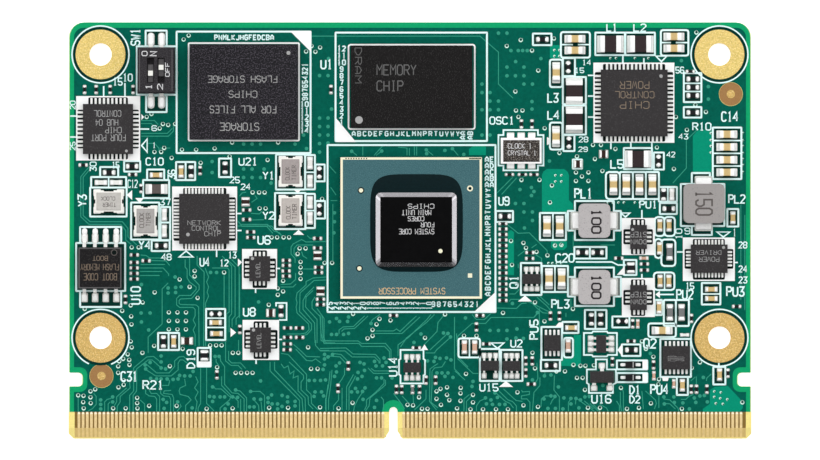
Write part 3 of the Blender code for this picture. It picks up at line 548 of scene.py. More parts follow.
contacts = Piece("edge_contacts", "board")
bed = Piece("contact_bed", "board")
for upper in (True, False):
    out = 1.0 if upper else -1.0
    for x in contact_places(upper):
        for (ya, ha), (yb, hb) in zip(CONTACT, CONTACT[1:]):
            # On the bevel the contacts take a lighter copy of their finish: painted light
            look = "finger_top" if yb > 3.0 else "finger_bevel" if yb == BEVEL else "finger"
            ends = [(x - ha, ya), (x + ha, ya), (x + hb, yb), (x - hb, yb)]
            contacts.loft([[(a, TIP + b, bevelled(b, upper) - depth * out) for a, b in ends]
                           for depth in (0.03, 0.0)], look)
    for left, right in ((at(74.5, 0)[0], at(383.7, 0)[0]), (at(403.3, 0)[0], at(746.0, 0)[0])):
        # The laminate between the contacts: brown, darkened by painted shade, and a lighter copy on
        # the bevel as painted light
        for start, end, depths, look in (
            (BEVEL, 3.24, (0.05, 0.028), "bed"), (0.16, BEVEL, (0.05, 0.012), "bed_bevel"),
        ):
            ends = [(left, start), (right, start), (right, end), (left, end)]
            bed.loft([[(a, TIP + b, bevelled(b, upper) - depth * out) for a, b in ends]
                      for depth in depths], look)
contacts.make()
bed.make()
board = core.make()
mask.make()

# The tongue's tip is bevelled on both faces
work = bmesh.new()
work.from_mesh(board.data)
plane = Vector((0.0, (TIP + BEVEL) / 1000, 0.0))
everything = list(work.verts) + list(work.edges) + list(work.faces)
bmesh.ops.bisect_plane(work, geom=everything, plane_co=plane, plane_no=(0.0, 1.0, 0.0))
half = FACE / 2000
for vert in work.verts:
    below = plane.y - vert.co.y
    if below > 1e-7:
        vert.co.z = half + (vert.co.z - half) * (1.0 - below / BEVEL * DROP / half)
work.to_mesh(board.data)
work.free()


# Packages: each keeps its solid, with one finish on its body and another on its leads or its lid

BLACK_MOULD = finish(26, 25, 26, 0.25, 0.07, 0.55, specks=((52, 50, 50), 0.40, 0.12))
GREY_MOULD = finish(52, 50, 51, 0.16, 0.06, 0.52, specks=((76, 73, 75), 0.38, 0.10))
STORAGE_MOULD = finish(28, 27, 31, 0.22, 0.09, 0.50, specks=((76, 72, 80), 0.44, 0.15))
SWITCH_BODY = finish(42, 40, 43, 0.16, 0.08, 0.50, specks=((70, 67, 71), 0.46, 0.10))
SUBSTRATE = finish(58, 98, 105, 0.06, 0.20, 0.42, specks=((78, 118, 122), 0.47, 0.10))
FERRITE_GREY = finish(182, 178, 178, 0.05, 0.10, 0.55, specks=((142, 138, 140), 0.36, 0.14))
CERAMIC = finish(244, 242, 236, 0.05, 0.10, 0.45)
LID = finish(186, 183, 178, 0.08, 0.30, 0.36, metal=0.25)
LID_DARK = finish(50, 45, 42, 0.20, 0.14, 0.42, metal=0.12, specks=((138, 132, 126), 0.43, 0.13))
DIE_TOP = finish(9, 9, 10, 0.20, 0.50, 0.34, relief=0.05, sheen=0.02)
DIE_SLOPE = finish(205, 203, 208, 0.03, 0.40, 0.16, metal=0.95, relief=0.03)
KNOB = finish(240, 240, 234, 0.04, 0.12, 0.40)
KNOB_FOOT = finish(104, 102, 104, 0.08, 0.12, 0.45)
LEAD = dict(FACTS["tin"], colour=(240, 241, 238))


def dress(node, material):
    for place in NODES[node].material_slots:
        place.material = material


def dress_box(node, x, y, length, width, inside, outside, low=0.0):
    """One finish inside a length and width about a place, from a level up, and one round it."""
    half_x, half_y = length / 2 + 0.004, width / 2 + 0.004
    dress(node, two_tone(node + "_finish", (x - half_x, y - half_y, low),
                         (x + half_x, y + half_y, 9.0), inside, outside))


joints = Piece("solder_joints", "board")
pads = Piece("solder_pads", "board")


def pad(x, y, half_x, half_y, radius, look="tin_grey", steps=2):
    pads.pillow(x, y, half_x, half_y, radius, [(0, 1.195), (0, 1.226)], look, steps)


# Place, body, leads along and across, their pitch and the reach of their pads
FLAT = {
    "power_controller": (634.2, 103.0, 8.0, 8.0, 14, 14, 0.5, 0.65),
    "usb_hub": (108.0, 129.0, 6.0, 6.0, 9, 9, 0.5, 0.65),
    "ethernet_controller": (204.2, 218.8, 6.0, 6.0, 12, 12, 0.4, 0.60),
    "level_shifter_1": (259.7, 268.7, 2.5, 3.0, 3, 4, 0.5, 0.45),
    "level_shifter_2": (260.5, 340.0, 2.5, 3.0, 3, 4, 0.5, 0.45),
    "regulator_1": (676.3, 357.7, 3.3, 2.8, 6, 0, 0.5, 0.50),
    "regulator_2": (709.2, 258.7, 4.4, 3.4, 9, 5, 0.4, 0.50),
    "regulator_3": (552.3, 343.0, 2.0, 1.9, 4, 0, 0.5, 0.55),
    "regulator_4": (638.5, 297.5, 2.0, 3.0, 3, 3, 0.5, 0.50),
    "regulator_5": (638.5, 237.0, 2.0, 2.9, 3, 3, 0.5, 0.50),
}
for node, (px, py, length, width, count_x, count_y, pitch, reach) in FLAT.items():
    x, y = at(px, py)
    dress_box(node, x, y, length, width, GREY_MOULD, LEAD)
    half = 0.25 * pitch
    for side in (-1, 1):
        for count, reach_from, turned in ((count_x, width, False), (count_y, length, True)):
            for index in range(count):
                u, v = swapped(turned, (index - (count - 1) / 2) * pitch,
                               side * (reach_from / 2 + reach / 2 + 0.03))
                pad(x + u, y + v, *swapped(turned, half + 0.01, reach / 2 + 0.05), 0.08, "tin")
                joints.pillow(x + u, y + v, *swapped(turned, half, reach / 2 + 0.02), 0.10,
                              [(0, 1.21), (0.005, 1.27), (0.03, 1.36), (0.06, 1.40)], "tin")

# Place, turn, body, width and reach of the leads, and their places on both sides
FOUR = (-1.905, -0.635, 0.635, 1.905)
THREE, NEARER = (-0.69, 0, 0.69), (-0.65, 0, 0.65)
BENT = {
    "boot_flash": (100.3, 268.0, 0, 5.3, 5.0, 0.42, 1.4, FOUR, FOUR),
    "transistor_pair_1": (531.7, 279.0, 0, 2.2, 1.2, 0.25, 0.75, NEARER, NEARER),
    "transistor_pair_2": (601.2, 344.0, 90, 2.1, 1.2, 0.30, 0.85, THREE, THREE),
    "logic_gate_1": (412.2, 367.5, 0, 2.1, 1.2, 0.25, 0.85, THREE, THREE),
    "logic_gate_2": (489.9, 365.7, 0, 2.2, 1.2, 0.25, 0.80, THREE, (-0.69, 0.69)),
    "logic_gate_3": (511.7, 365.9, 0, 2.1, 1.2, 0.25, 0.80, NEARER, NEARER),
    "reset_supervisor": (602.0, 377.0, 0, 2.9, 1.4, 0.45, 0.85, (0,), (-0.95, 0.95)),
}
for node, (px, py, turn, length, width, lead, reach, far, near) in BENT.items():
    x, y = at(px, py)
    flash = node == "boot_flash"
    dress_box(node, x, y, *swapped(turn, length, width), BLACK_MOULD if flash else GREY_MOULD, LEAD)
    half_u, half_v = swapped(turn, lead / 2 + 0.11, 0.34 * reach)
    for side, places in ((1, far), (-1, near)):
        for u in places:
            v = side * (width / 2 + 0.76 * reach)
            a, b = (x - v, y + u) if turn else (x + u, y + v)
            pad(a, b, half_u + 0.06, half_v + 0.06, 0.1)
            joints.pillow(a, b, half_u, half_v, 0.26,
                          [(0, 1.21), (0.02, 1.26), (0.06, 1.33), (0.10, 1.37)], "tin", 3)
            if flash and side > 0:
                joints.pillow(a, y + 4.36, 0.33, 0.42, 0.32,
                              [(0, 1.21), (0.03, 1.28), (0.10, 1.34), (0.18, 1.37)], "tin", 4)

switch_x, switch_y = at(156.2, 70.5)
dress_box("switch_housing", switch_x, switch_y, 4.4, 5.5, SWITCH_BODY, LEAD)
for side in (-1, 1):
    for u in (-0.635, 0.635):
        x, y = switch_x + u, switch_y + side * 3.70
        pad(x, y, 0.42, 0.86, 0.38, steps=4)
        joints.pillow(x, y, 0.37, 0.80, 0.34,
                      [(0, 1.21), (0.02, 1.30), (0.07, 1.42), (0.16, 1.49)], "tin", 4)
for index in (1, 2):
    knob = two_tone(f"slider_{index}_finish", (-60, -60, 3.205), (60, 60, 9), KNOB, KNOB_FOOT)
    dress(f"switch_slider_{index}", knob)

x, y = at(521.2, 150.7)
dress_box("oscillator", x + 0.02, y - 0.04, 4.36, 2.60, LID_DARK,
          dict(CERAMIC, colour=(254, 252, 251)), 2.2)
for side in (-1, 1):
    for u in (-1.27, 0.0, 1.27):
        pad(x + u, y + side * 1.86, 0.46, 0.34, 0.1)
        joints.pillow(x + u, y + side * 1.80, 0.41, 0.30, 0.1,
                      [(0, 1.21), (0.02, 1.35), (0.05, 1.47)], "tin")

castellations = []
for node, px, py, turned, lid in (
    ("crystal_1", 108.7, 201.5, False, (186, 183, 178)),
    ("crystal_2", 145.5, 221.0, True, (164, 161, 158)),
    ("crystal_3", 290.5, 171.5, True, (158, 150, 148)),
    ("crystal_4", 290.5, 210.5, True, (180, 173, 168)),
):
    x, y = at(px, py)
    dress_box(node, x, y, *swapped(turned, 2.94, 2.14), dict(LID, colour=lid), CERAMIC, 1.8)
    half = swapped(turned, 1.75, 1.35)
    wide, deep = (0.28, 0.55) if turned else (0.60, 0.25)
    for a in (-1, 1):
        for b in (-1, 1):
            joints.pillow(x + a * (half[0] - 0.35), y + b * (half[1] - 0.30), 0.45, 0.42, 0.1,
                          [(0, 1.2), (0.0, 1.24), (0.05, 1.30)], "tin")
        castellations += [(x, y + a * (half[1] - 0.07), wide, 0.08),
                          (x + a * (half[0] - 0.07), y, 0.08, deep)]

chip_x, chip_y = at(411.2, 228.0)
dress_box("processor_die", chip_x + 0.6, chip_y - 0.2, 8.60, 7.85, DIE_TOP, DIE_SLOPE)
for node, facts in (("processor_substrate", SUBSTRATE), ("flash_storage_chip", STORAGE_MOULD),
                    ("memory_chip", dict(BLACK_MOULD, colour=(22, 21, 21)))):
    dress(node, surface(node + "_finish", **facts))
for node, px, py, length, width, colour, across in (
    ("power_inductor_1", 594.3, 220.7, 3.8, 4.1, (182, 178, 178), False),
    ("power_inductor_2", 594.3, 287.0, 3.8, 4.1, (182, 178, 178), False),
    ("power_inductor_3", 703.7, 203.5, 4.9, 4.7, (158, 154, 152), True),
):
    x, y = at(px, py)
    dress_box(node, x, y, length, width, dict(FERRITE_GREY, colour=colour), FACTS["tin"])
    half = swapped(across, 0.45, 0.95)
    for side in (-1, 1):
        u, v = swapped(across, side * ((width if across else length) / 2 + 0.35), 0.0)
        pad(x + u, y + v, half[0] + 0.12, half[1] + 0.15, 0.15)
        joints.pillow(x + u, y + v, *half, 0.42,
                      [(0, 1.21), (0.02, 1.35), (0.08, 1.52), (0.14, 1.60), (0.18, 1.72)], "tin", 3)
for box in rows("""569.3 212.3 575 229.3/614 212.3 619.7 229.3/569.3 278.3 575 295.3/
614 278.3 619.7 295.3"""):
    pads.plate(corners(*box_of(*box)), 1.195, 1.212, "pad_dim")

# Solder balls under the large packages, and the underfill round the die
BALL = [(0.12, 1.201), (0.19, 1.27), (0.21, 1.35), (0.19, 1.43), (0.12, 1.499)]
balls = Piece("solder_balls", "substrate")
for px, py, length, width, pitch, columns in (
    (411.2, 228.0, 17.0, 17.0, 0.65, 3), (411.5, 86.8, 14.6, 9.9, 0.8, 2),
    (244.0, 92.0, 13.0, 11.4, 0.8, 2),
):
    x, y = at(px, py)
    nx, ny = int((length - 0.8) / pitch), int((width - 0.8) / pitch)
    for i in range(nx + 1):
        for j in range(ny + 1):
            if min(i, j, nx - i, ny - j) >= columns:
                continue
            u, v = x + (i - nx / 2) * pitch, y + (j - ny / 2) * pitch
            balls.loft([[(a, b, z) for a, b in circle(u, v, radius, 8)] for radius, z in BALL],
                       "solder_ball")
balls.make(smooth=True)

marks = Piece("package_marks", "chip_mould")
marks.ring(corners(chip_x, chip_y, 8.48, 8.48), corners(chip_x, chip_y, 8.20, 8.20), 2.300, 2.312,
           "mark_cream")
fill = Piece("die_underfill", "substrate")
x, y, half_x, half_y = box_of(370, 174, 463, 272)
rings = []
for inset, z in ((0.0, 2.295), (0.05, 2.315), (0.5, 2.345), (1.2, 2.38)):
    ring = []
    for a, b in circle(0.0, 0.0, 1.0, 64):
        u, v = (math.copysign(abs(value) ** 0.42, value) for value in (a, b))
        ring.append((x + u * (half_x - inset), y + v * (half_y - inset), z))
    rings.append(ring)
fill.loft(rings, "underfill")
fill.make(smooth=True)


# Small parts, each a body between two metal ends on solder and pads


def layer(piece, place, upright):
    """What lays rounded blocks along a part: distance from its middle, half length and width."""
    x, y = at(*place)

    def block(along, half_along, half_across, *rest):
        u, v = swapped(upright, along, 0.0)
        piece.pillow(x + u, y + v, *swapped(upright, half_along, half_across), *rest)

    return block


def small_part(place, size, upright, body, share, roundness):
    """A part whose metal ends take a share of its length, more or less round."""
    length, width, height = size
    top, end = FACE + height, length * share
    block = layer(passives, place, upright)
    block(0.0, length / 2 - end * 0.55, width / 2 - 0.01, 0.03,
          [(0, FACE), (0, top - 0.05), (0.03, top - 0.012)], body)
    for side in (-1, 1):
        middle = side * (length / 2 - end / 2)
        radius = min(end, width) / 2 * roundness
        block(middle + side * 0.02, end / 2 + 0.05, width / 2 + 0.04, radius + 0.03,
              [(0, FACE - 0.003), (0, FACE + 0.02)], "tin_grey")
        block(middle, end / 2, width / 2, radius, [
            (0, FACE), (0.008, FACE + 0.45 * height), (0.03, FACE + 0.82 * height), (0.075, top)],
            "tin", 3)


# Body, share of the ends and their roundness
LOOKS = {
    "black": ("black", 0.32, 0.55), "dots": ("black", 0.38, 1.0), "tan": ("tan", 0.27, 0.25),
    "pale": ("pale", 0.30, 0.30), "pink": ("pink", 0.28, 0.25), "grey": ("grey", 0.27, 0.25),
    "brown": ("brown", 0.33, 0.25),
}
TINY, SMALL, BROAD = (1.0, 0.36, 0.30), (1.4, 0.56, 0.45), (0.98, 0.92, 0.50)
LARGE, MEDIUM, WIDE = (1.9, 0.72, 0.60), (1.55, 0.58, 0.50), (1.35, 0.85, 0.50)
SQUARE, THIN, CLOCK = (1.2, 0.9, 0.45), (1.0, 0.30, 0.28), (1.42, 0.62, 0.45)
# Size, whether it stands up in the drawing, look and places
GROUPS = [
    (THIN, False, "black", """509.5 174.5/522.5 174.5/534 174.5"""),
    (TINY, False, "black", """690.5 71.5/83 165/132.5 174.5/246.5 210/246.5 219.5/250.5 232/250.7
        237.5/317.5 238.5/317.5 248/286.3 260.5/286.3 265.5/286 271/286.3 276.2/318.5 267.4/318.5
        272.6/320.5 299.3/320.5 304.6/287.5 328/287.5 337.5/287.3 344/287 349.8/299.3 328/299.5
        337.5/393.5 315.5/480 315.5/416.3 348/486.5 344/530 252.6/529.7 258.5/736.8 306.5/631.2
        341.2/619 258.3/644.5 264/644.5 270.2/134.2 255/146 260.8/134 262.5/134 268/134 273.5/134
        279/531.3 384.2"""),
    (TINY, False, "black", """503 223.5/503 229/503 234.5/503 240/503 245.5/503 251/503 256.5/503
        262/503 267.5/503 273/503 278.5/503 284/503 289.5/503 295/503 300.5"""),
    (TINY, False, "pink", """644 258.2"""),
    (TINY, False, "pale", """684.8 335"""),
    (TINY, True, "black", """84.5 89.5/96 89.5/110 89.5/133 89.5/331 89.5/521.5 124/532 124/200
        170.5/239.8 329.5/476.5 327/550.5 316/559.5 316/691.5 318.5/125.3 299.5/141 188.5/216.8
        374.8/338 388.5/348.3 366/396.5 389.5/401.7 389.5/419.5 389.5/426 380.2/435.6 380.2/525.8
        361/532.3 361/525.8 373/612.5 361.8/653.7 365/728 373.3/691.4 389.3/696.6 389.3/707
        389.3/632.8 323.8"""),
    (TINY, True, "pink", """637.9 323.9/674 383.8/654 375.8"""),
    (TINY, True, "grey", """412.5 389.5"""),
    (SMALL, False, "black", """542.5 39.3/693 79/693 87.3/693 95.5/693 112.5/132 166.3/109
        172.5/161 245.7/505 216.3/582.5 252.5/597.5 252.5/669 208.7/551 365.5/631.5 350"""),
    (SMALL, False, "dots", """622.5 321.3/215.5 314"""),
    (SMALL, False, "pale", """100.8 182.5/116 182.5"""),
    (SMALL, False, "tan", """156 175/571.5 327.8/711.5 289.3/711.5 298.6/215.5 322.6/216.3
        333.7"""),
    (SMALL, True, "black", """191 171.5/225 167.8/663.7 194.5/591.5 319.3/600.7 319.3/163.3
        341.7/281 311"""),
    (SMALL, True, "dots", """568.3 67/319.3 172.6/319.3 209.6/569 142.5/658.7 160.8"""),
    (SMALL, True, "pale", """164.3 214.7/164.3 231/672 194.5"""),
    (CLOCK, True, "pale", """310 163/310 181.1/310 202.4/310 218.1"""),
    (SMALL, True, "tan", """181 171.5/733 217.8/659.7 248.3/660.2 281/669 281/659.2 307.5/173.6
        341.5/719.7 374.7/682.5 385.3/660 225.3/669.2 225.3"""),
    (BROAD, False, "brown", """578 164/603.7 154/270.7 313"""),
    (WIDE, False, "brown", """186.8 341"""),
    (BROAD, True, "brown", """245.5 201.8/317.5 255.5/320.5 291.3"""),
    (MEDIUM, True, "pink", """464.5 347.2/474.7 347.2/568.2 345.7"""),
    (LARGE, True, "grey", """669.7 252/670 312.5/681.7 312.5"""),
    (SQUARE, True, "black", """204.3 355.5/631 267.8"""),
]
passives = Piece("small_passives", "board")
for size, upright, look, text in GROUPS:
    for place in rows(text):
        small_part(place, size, upright, *LOOKS[look])
for py in (364.8, 377.6):
    x, y = at(630.6, py)
    passives.pillow(x, y, 0.60, 0.40, 0.05, [(0, 1.26), (0, 1.60), (0.05, 1.80)], "black")
    passives.pillow(x + 0.31, y, 0.06, 0.34, 0.02, [(0, 1.78), (0, 1.804)], "mark")
    for side in (-1, 1):
        passives.pillow(x + side * 0.90, y, 0.33, 0.20, 0.14,
                        [(0, FACE), (0.01, 1.36), (0.05, 1.43)], "tin", 3)
passives.make(smooth=True)


def metal_part(name, node, place, upright, size, end, body, slot):
    """A part with metal ends that wrap round its body, on hollow solder slopes and pads."""
    piece = Piece(name, slot, (node,))
    length, width, height = size
    foot = FACE + 0.1
    top = foot + height
    block = layer(piece, place, upright)
    block(0.0, length / 2 - end * 0.6, width / 2 - 0.02, 0.04,
          [(0.02, foot), (0, 1.34), (0, top - 0.09), (0.05, top - 0.03)], body)
    along, across = swapped(upright, *at(*place))
    wall, climb = length / 2 - 0.04, foot + 0.58 * height
    slope = [(wall, climb)]
    slope += [(wall + 0.04 + 0.28 * share, 1.215 + (climb - 1.215) * (1 - share) ** 2.0)
              for share in (0.2, 0.4, 0.6, 0.8, 1.0)]
    slope.append((wall, 1.215))
    for side in (-1, 1):
        middle = side * (length - end) / 2
        block(middle, end / 2, width / 2, 0.07,
              [(0.03, foot), (0, 1.35), (0, top - 0.06), (0.02, top - 0.02), (0.06, top)], "tin", 3)
        if body == "tan":
            block(middle - side * (end / 2 + 0.03), 0.08, width / 2 - 0.025, 0.02,
                  [(0, 1.36), (0, top - 0.06), (0.02, top - 0.022)], "cream")
        block(side * (length / 2 + 0.11), 0.26, width / 2 + 0.03, 0.10,
              [(0, 1.195), (0, 1.22)], "tin_grey", 3)
        piece.loft([[(*swapped(upright, along + side * u, v), z) for u, z in slope]
                    for v in (across - width / 2 + 0.02, across + width / 2 - 0.02)], "tin")
    piece.make(smooth=True)


# Place, and 1 where the part stands up in the drawing
CAPACITORS = """575 38.8 0/575 50.3 0/674 36.5 0/674 48.3 0/556.2 72.5 1/556 136.5 1/727 134.3 0/
727 147 0/727 159.8 0/727 172.3 0/613.5 184.5 1/626.3 184.5 1/639.5 184.5 1/652.5 184.5 1/
547 226.3 1/559.7 226.3 1/549 278.7 1/561.7 278.7 1/662.3 330.5 0/156.5 189 0"""
FILTERS = "610.5 44 0/640.5 44 0/638 159 0/574.3 91 1/574.3 119.5 1"
for index, (px, py, upright) in enumerate(rows(CAPACITORS), start=1):
    size, body = ((1.95, 1.15, 0.85), "umber") if index == 20 else ((1.8, 0.9, 0.85), "tan")
    metal_part(f"ceramic_capacitor_{index}", f"capacitor_{index}", (px, py), upright, size, 0.45,
               body, "capacitor_ceramic")
for index, (px, py, upright) in enumerate(rows(FILTERS), start=1):
    metal_part(f"ferrite_filter_{index}", f"filter_inductor_{index}", (px, py), upright,
               (2.5, 2.0, 1.2), 0.58, "ferrite", "filter_ferrite")


# Camera, light and floor

scene = bpy.context.scene
scene.view_settings.view_transform = "Standard"
camera_data = bpy.data.cameras.new("camera")
CAMERA_HEIGHT, VIEW_WIDTH = 1.2, 0.09855
camera_data.sensor_width = 36.0
camera_data.lens = 36.0 * CAMERA_HEIGHT / VIEW_WIDTH
camera_data.clip_start = 0.1
camera_data.clip_end = 20.0
camera = bpy.data.objects.new("camera", camera_data)
scene.collection.objects.link(camera)
camera.location = (0.0, 0.00006, CAMERA_HEIGHT)
scene.camera = camera

# White above and towards the far side, and dark near the horizon, which metal mirrors
world = bpy.data.worlds.new("studio")
scene.world = world
world.use_nodes = True
tree = world.node_tree
sky = tree.nodes["Background"]
sky.inputs["Strength"].default_value = 0.60
way = add_node(tree, "TexCoord").outputs["Generated"]
axes = add_node(tree, "SeparateXYZ", {0: way}).outputs
near = add_node(tree, "MapRange", {"Value": axes["Y"]}, {"From Min": -0.65, "From Max": -0.35})
aloft = add_node(tree, "MapRange", {"Value": axes["Z"]}, {"From Min": 0.35, "From Max": 0.60})
bright = add_node(tree, "Math", {0: near.outputs["Result"], 1: aloft.outputs["Result"]},
                  operation="MAXIMUM")
tone = add_node(tree, "Mix", {"Factor": bright.outputs[0]},
                {"A": (0.03, 0.03, 0.03, 1.0), "B": WHITE}, data_type="RGBA")
tree.links.new(tone.outputs["Result"], sky.inputs["Color"])

for name, place, size, power in (
    ("overhead", (0.0, 0.25, 0.9), (0.9, 0.6), 2.85), ("left", (-0.7, 0.1, 0.5), (0.5, 0.8), 1.2),
    ("right", (0.7, 0.1, 0.5), (0.5, 0.8), 1.2), ("far", (0.0, 0.7, 0.5), (0.9, 0.4), 1.3),
):
    lamp = bpy.data.lights.new(name, "AREA")
    lamp.shape, lamp.energy = "RECTANGLE", power
    lamp.size, lamp.size_y = size
    light = bpy.data.objects.new(name, lamp)
    scene.collection.objects.link(light)
    light.location = place
    light.rotation_euler = (-Vector(place)).to_track_quat("-Z", "Y").to_euler()

floor_mesh = bpy.data.meshes.new("floor")
places = [(x, y, -0.0001) for x, y in corners(0.0, 0.0, 3.0, 3.0)]
floor_mesh.from_pydata(places, [], [(0, 1, 2, 3)])
floor = bpy.data.objects.new("floor", floor_mesh)
scene.collection.objects.link(floor)
paper = bpy.data.materials.new("paper")
paper.use_nodes = True
tree = paper.node_tree
base = tree.nodes["Principled BSDF"]
base.inputs["Base Color"].default_value = (0.86, 0.86, 0.86, 1.0)
base.inputs["Roughness"].default_value = 0.9
glow = add_node(tree, "Emission", values={"Strength": 0.75})
rays = add_node(tree, "LightPath").outputs
seen = rays["Is Camera Ray"]
for kind in ("Is Glossy Ray", "Is Transmission Ray"):
    seen = add_node(tree, "Math", {0: seen, 1: rays[kind]}, operation="MAXIMUM").outputs[0]
lit = add_node(tree, "AddShader", {0: base.outputs[0], 1: glow.outputs[0]})
mix = add_node(tree, "MixShader", {"Fac": seen, 1: base.outputs[0], 2: lit.outputs[0]})
tree.links.new(mix.outputs[0], tree.nodes["Material Output"].inputs["Surface"])
floor_mesh.materials.append(paper)
floor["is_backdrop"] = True


# Silkscreen: boxes round the parts, filled fields round the flat leads, pointers and ticks, and
# sheets of painted shade inside the boxes and under the leads

silk = Piece("silkscreen", "board")
shade_sheets = Piece("painted_shade_sheets", "board")
LINE, FINE_LINE = 0.225, 0.19
# Left, top, right, bottom and corner radius of the boxes round the large packages
BOXES = """327.5 145 495.5 312 0/348.5 44.6 474.8 129 2/335.5 32.5 487 141 0/188.5 43 299 140.5 1/
176.5 31.5 310.5 153 0"""
# The same for the boxes with painted shade inside round the part, where a radius is left out if it
# is none
DARK_BOXES = """76 243 125 291/80 227 121 243/80 291 121 307/145.5 30.5 166.5 46/136.7 46.2 176.4
94.6/146 95.5 166.5 112/595.5 32.5 625 55/625.5 32.5 655 55/624 148 652 169/563 77 586 104/563
105.5 586 134.5/568 211 575 230.5/614 211 621 230.5/568 277 575 296.5/614 277 621 296.5/575 201 614
240/575 267.5 614 306/681 184 724.5 226/692 173 710 184/692 226 712 235/90 187.5 126.5 216.5/131
202.5 159 239.5/276 154.5 305 189.5/275 193 305.5 229/561 32 590 57.5 2/661 30 688.5 55.5 2/550
59.5 562.5 87 2/550 122.5 562.5 149.5 2/713 127.5 741.5 179/606 172 620 199 3/620 172 633 199 1/633
172 646 199 1/646 172 659 199 1/540 213 566 240/542 266 568 292/648.5 323.5 676 337 2/458.5 338.5
480 357.5 2/564 338 573 357.5 2/143 180 169 198/661.5 239.5 675.5 266 3/664 300 676 326 1/676 300
689 326 1/533 33.5 551.5 45/563 58 575 76/684 73 701.5 102/684 107 701.5 117.5/124 161 140
171.5/100 167 118 177/147 169.5 164 180/176 162 185.5 180/185.5 162 195 180/91 177 126 187.5/219
158.5 231 177/305.2 155 314.8 189.3/315.5 164.5 324.6 181.3/305.2 193.9 314.8 228/315.5 201 325
218.5/160.5 207 170 222.5/160.5 222.5 170 240/151.5 240.5 169.5 251/563.5 135 574.5 151/654 152.5
664 169.5/496 211 513 222/574.5 247 590 258.5/590 247 606.5 258.5/659 187 677 201.5/660 203 677
214/727.5 209 738.5 226.5/562.5 322 578.5 333/585 310 595.5 329/595.5 310 606.5 329/654 272.5 674.5
290 3/702 283 720.5 304.5/655 300 662 315/158 333 168.5 350/168.5 333 179 350/206 309 225 340/612.5
316.5 629.5 327.5/624 260 636.5 275/197.5 348 210.5 366.5/617 360.5 647.3 369.4/617 373.1 647.3
382.2/541 360 560 371/622 344.5 640.5 356/677 377 688 395/713.5 367 725.5 384.5/573 159.5 582
168.5/541.5 327 562 360/660.5 339 691 377/521 263 541.5 295/480 349 499.5 381/501 350 522.5 381/655
217 664.5 236 3/664.5 217 675 236 3/655 239 662 258 3"""
# Each filled field and the two strips of painted shade under its leads, as left, top, right and
# bottom
FIELDS = """242 249 277 289 252.5 250.3 267 288 243.5 258.5 275.8 278.2/242.5 320 279 360 253.5
321.3 268.5 359 244 330 277.5 348.8/683 237.5 735 281 693 239 725 279.7 684.7 249 733.5 268.8/622
218 655 255 631 219 645.3 254.3 623.5 229.2 653 244.3/622 278 655 317 631 279.5 645.3 316 623.5 290
653.3 305/593.5 62.5 674.5 142.7 603 63.9 665.3 141.5 594.9 72 673.3 133.5/76 96 140 160.5 88.2
97.3 127.8 159.3 77.3 109.6 138.7 148.4/172 186.5 237 250.5 183 187.9 226.3 249.2 173.4 197.3 235.7
240.8"""
POLYGONS = """495.5 292 0 20 -21.5 0/336 118 0 24 20 0/290 31 21 0 0 21/237.8 258.5 4.2 3.8 -4.2
4.2/230.5 328 5.5 4.5 -5.5 4.5/518 301.5 14 0 -7 -6/421 350 7 0 -3.5 -5.5/499 387 14 0 -7 -6/555
327 7.8 0 0 -4.5 -3.8 0/662 377 7 0 -1 4 -5 0/642.6 360.5 4.7 0 0 8.9 -4.7 0/642.6 373.1 4.7 0 0
9.1 -4.7 0/197.5 361.5 13 0 0 5 -13 0/655.5 294.5 4.5 -3.7 0 7.4/617.5 350 5 -6.5 0 13/617 274.8 8
-8.8 0 8.8/126.5 195 5.5 -5 0 10/135 198 9 0 -4.5 4.8/293.8 190 7.4 0 -3.7 3/293 234.8 11 0 -5.5
-5/141.3 114 2.7 3 -2.7 3"""
OUTLINES = """503.5 130 34.5 0 0 5 5.5 0 0 30.5 -5.5 0 0 4.8 -34.5 0 0 -4.8 -5 0 0 -30.5 5 0/656 56
11 0 -5.5 5.5/141.5 145.5 5.5 -6.5 0 13/179 257 14 0 -7 -6/621 213 9 0 -4.5 4/717 232 13 0 -6.5
5/491 343 13 0 -6.5 5.5/584 333 8 0 1 -1.5 14 0 1 1.5 9 0 0 22 -9 0 -1 1.5 -14 0 -1 -1.5 -8 0/400.5
350 23 0 0 9 1.5 1 0 14.5 -1.5 1 0 8 -23 0 0 -8 -1.5 -1 0 -14.5 1.5 -1/587 369.5 9 0 0 -10 11 0 0
10 9 0 0 13.5 -3 1.5 0 8.5 -24 0 0 -8.5 -2 -1.5"""
TICKS = """276 306.5 0 -3.5 10.5 0 0 17 -7.5 0/660 294.5 14 0/576 262 36 0 6 3 8 0/103.5 86 0
10/124.8 83 0 13/70 116 6 0/70 137 6 0/140 129 9 0/588 75.3 6 0/588 96 6 0/588 117 6 0/623 56 0
6.5/644 58 0 4.5/611 142.5 0 6.5/631 142.5 0 6.5/652 142.5 0 6.5/237 213.5 4.5 0/237 230.5 4.5
0/216.5 250.5 0 6.5/255.5 289 0 4/256 360 0 4/642 210 0 8/677 252 6 0/735 262.5 3 0/642 274 0 4/277
268.5 3 0/279 339.5 3 0/713 140.5 28.5 0/713 153.3 28.5 0/713 166 28.5 0/561 44.5 12 0/578 44.5 12
0/661 42.5 10 0/676 42.5 12.5 0/469.5 338.5 0 19/553 213 0 27/555 266 0 26/684 83.2 17.5 0/684 91.4
17.5 0/108.5 177 0 10.5/668 187 0 14.5/702 294 18.5 0/664.7 272.5 0 17.5/305.2 172.2 9.6 0/305.2
210.6 9.6 0/206 318.2 19 0/206 327.5 19 0/719 363 0 4"""
large = len(rows(BOXES))
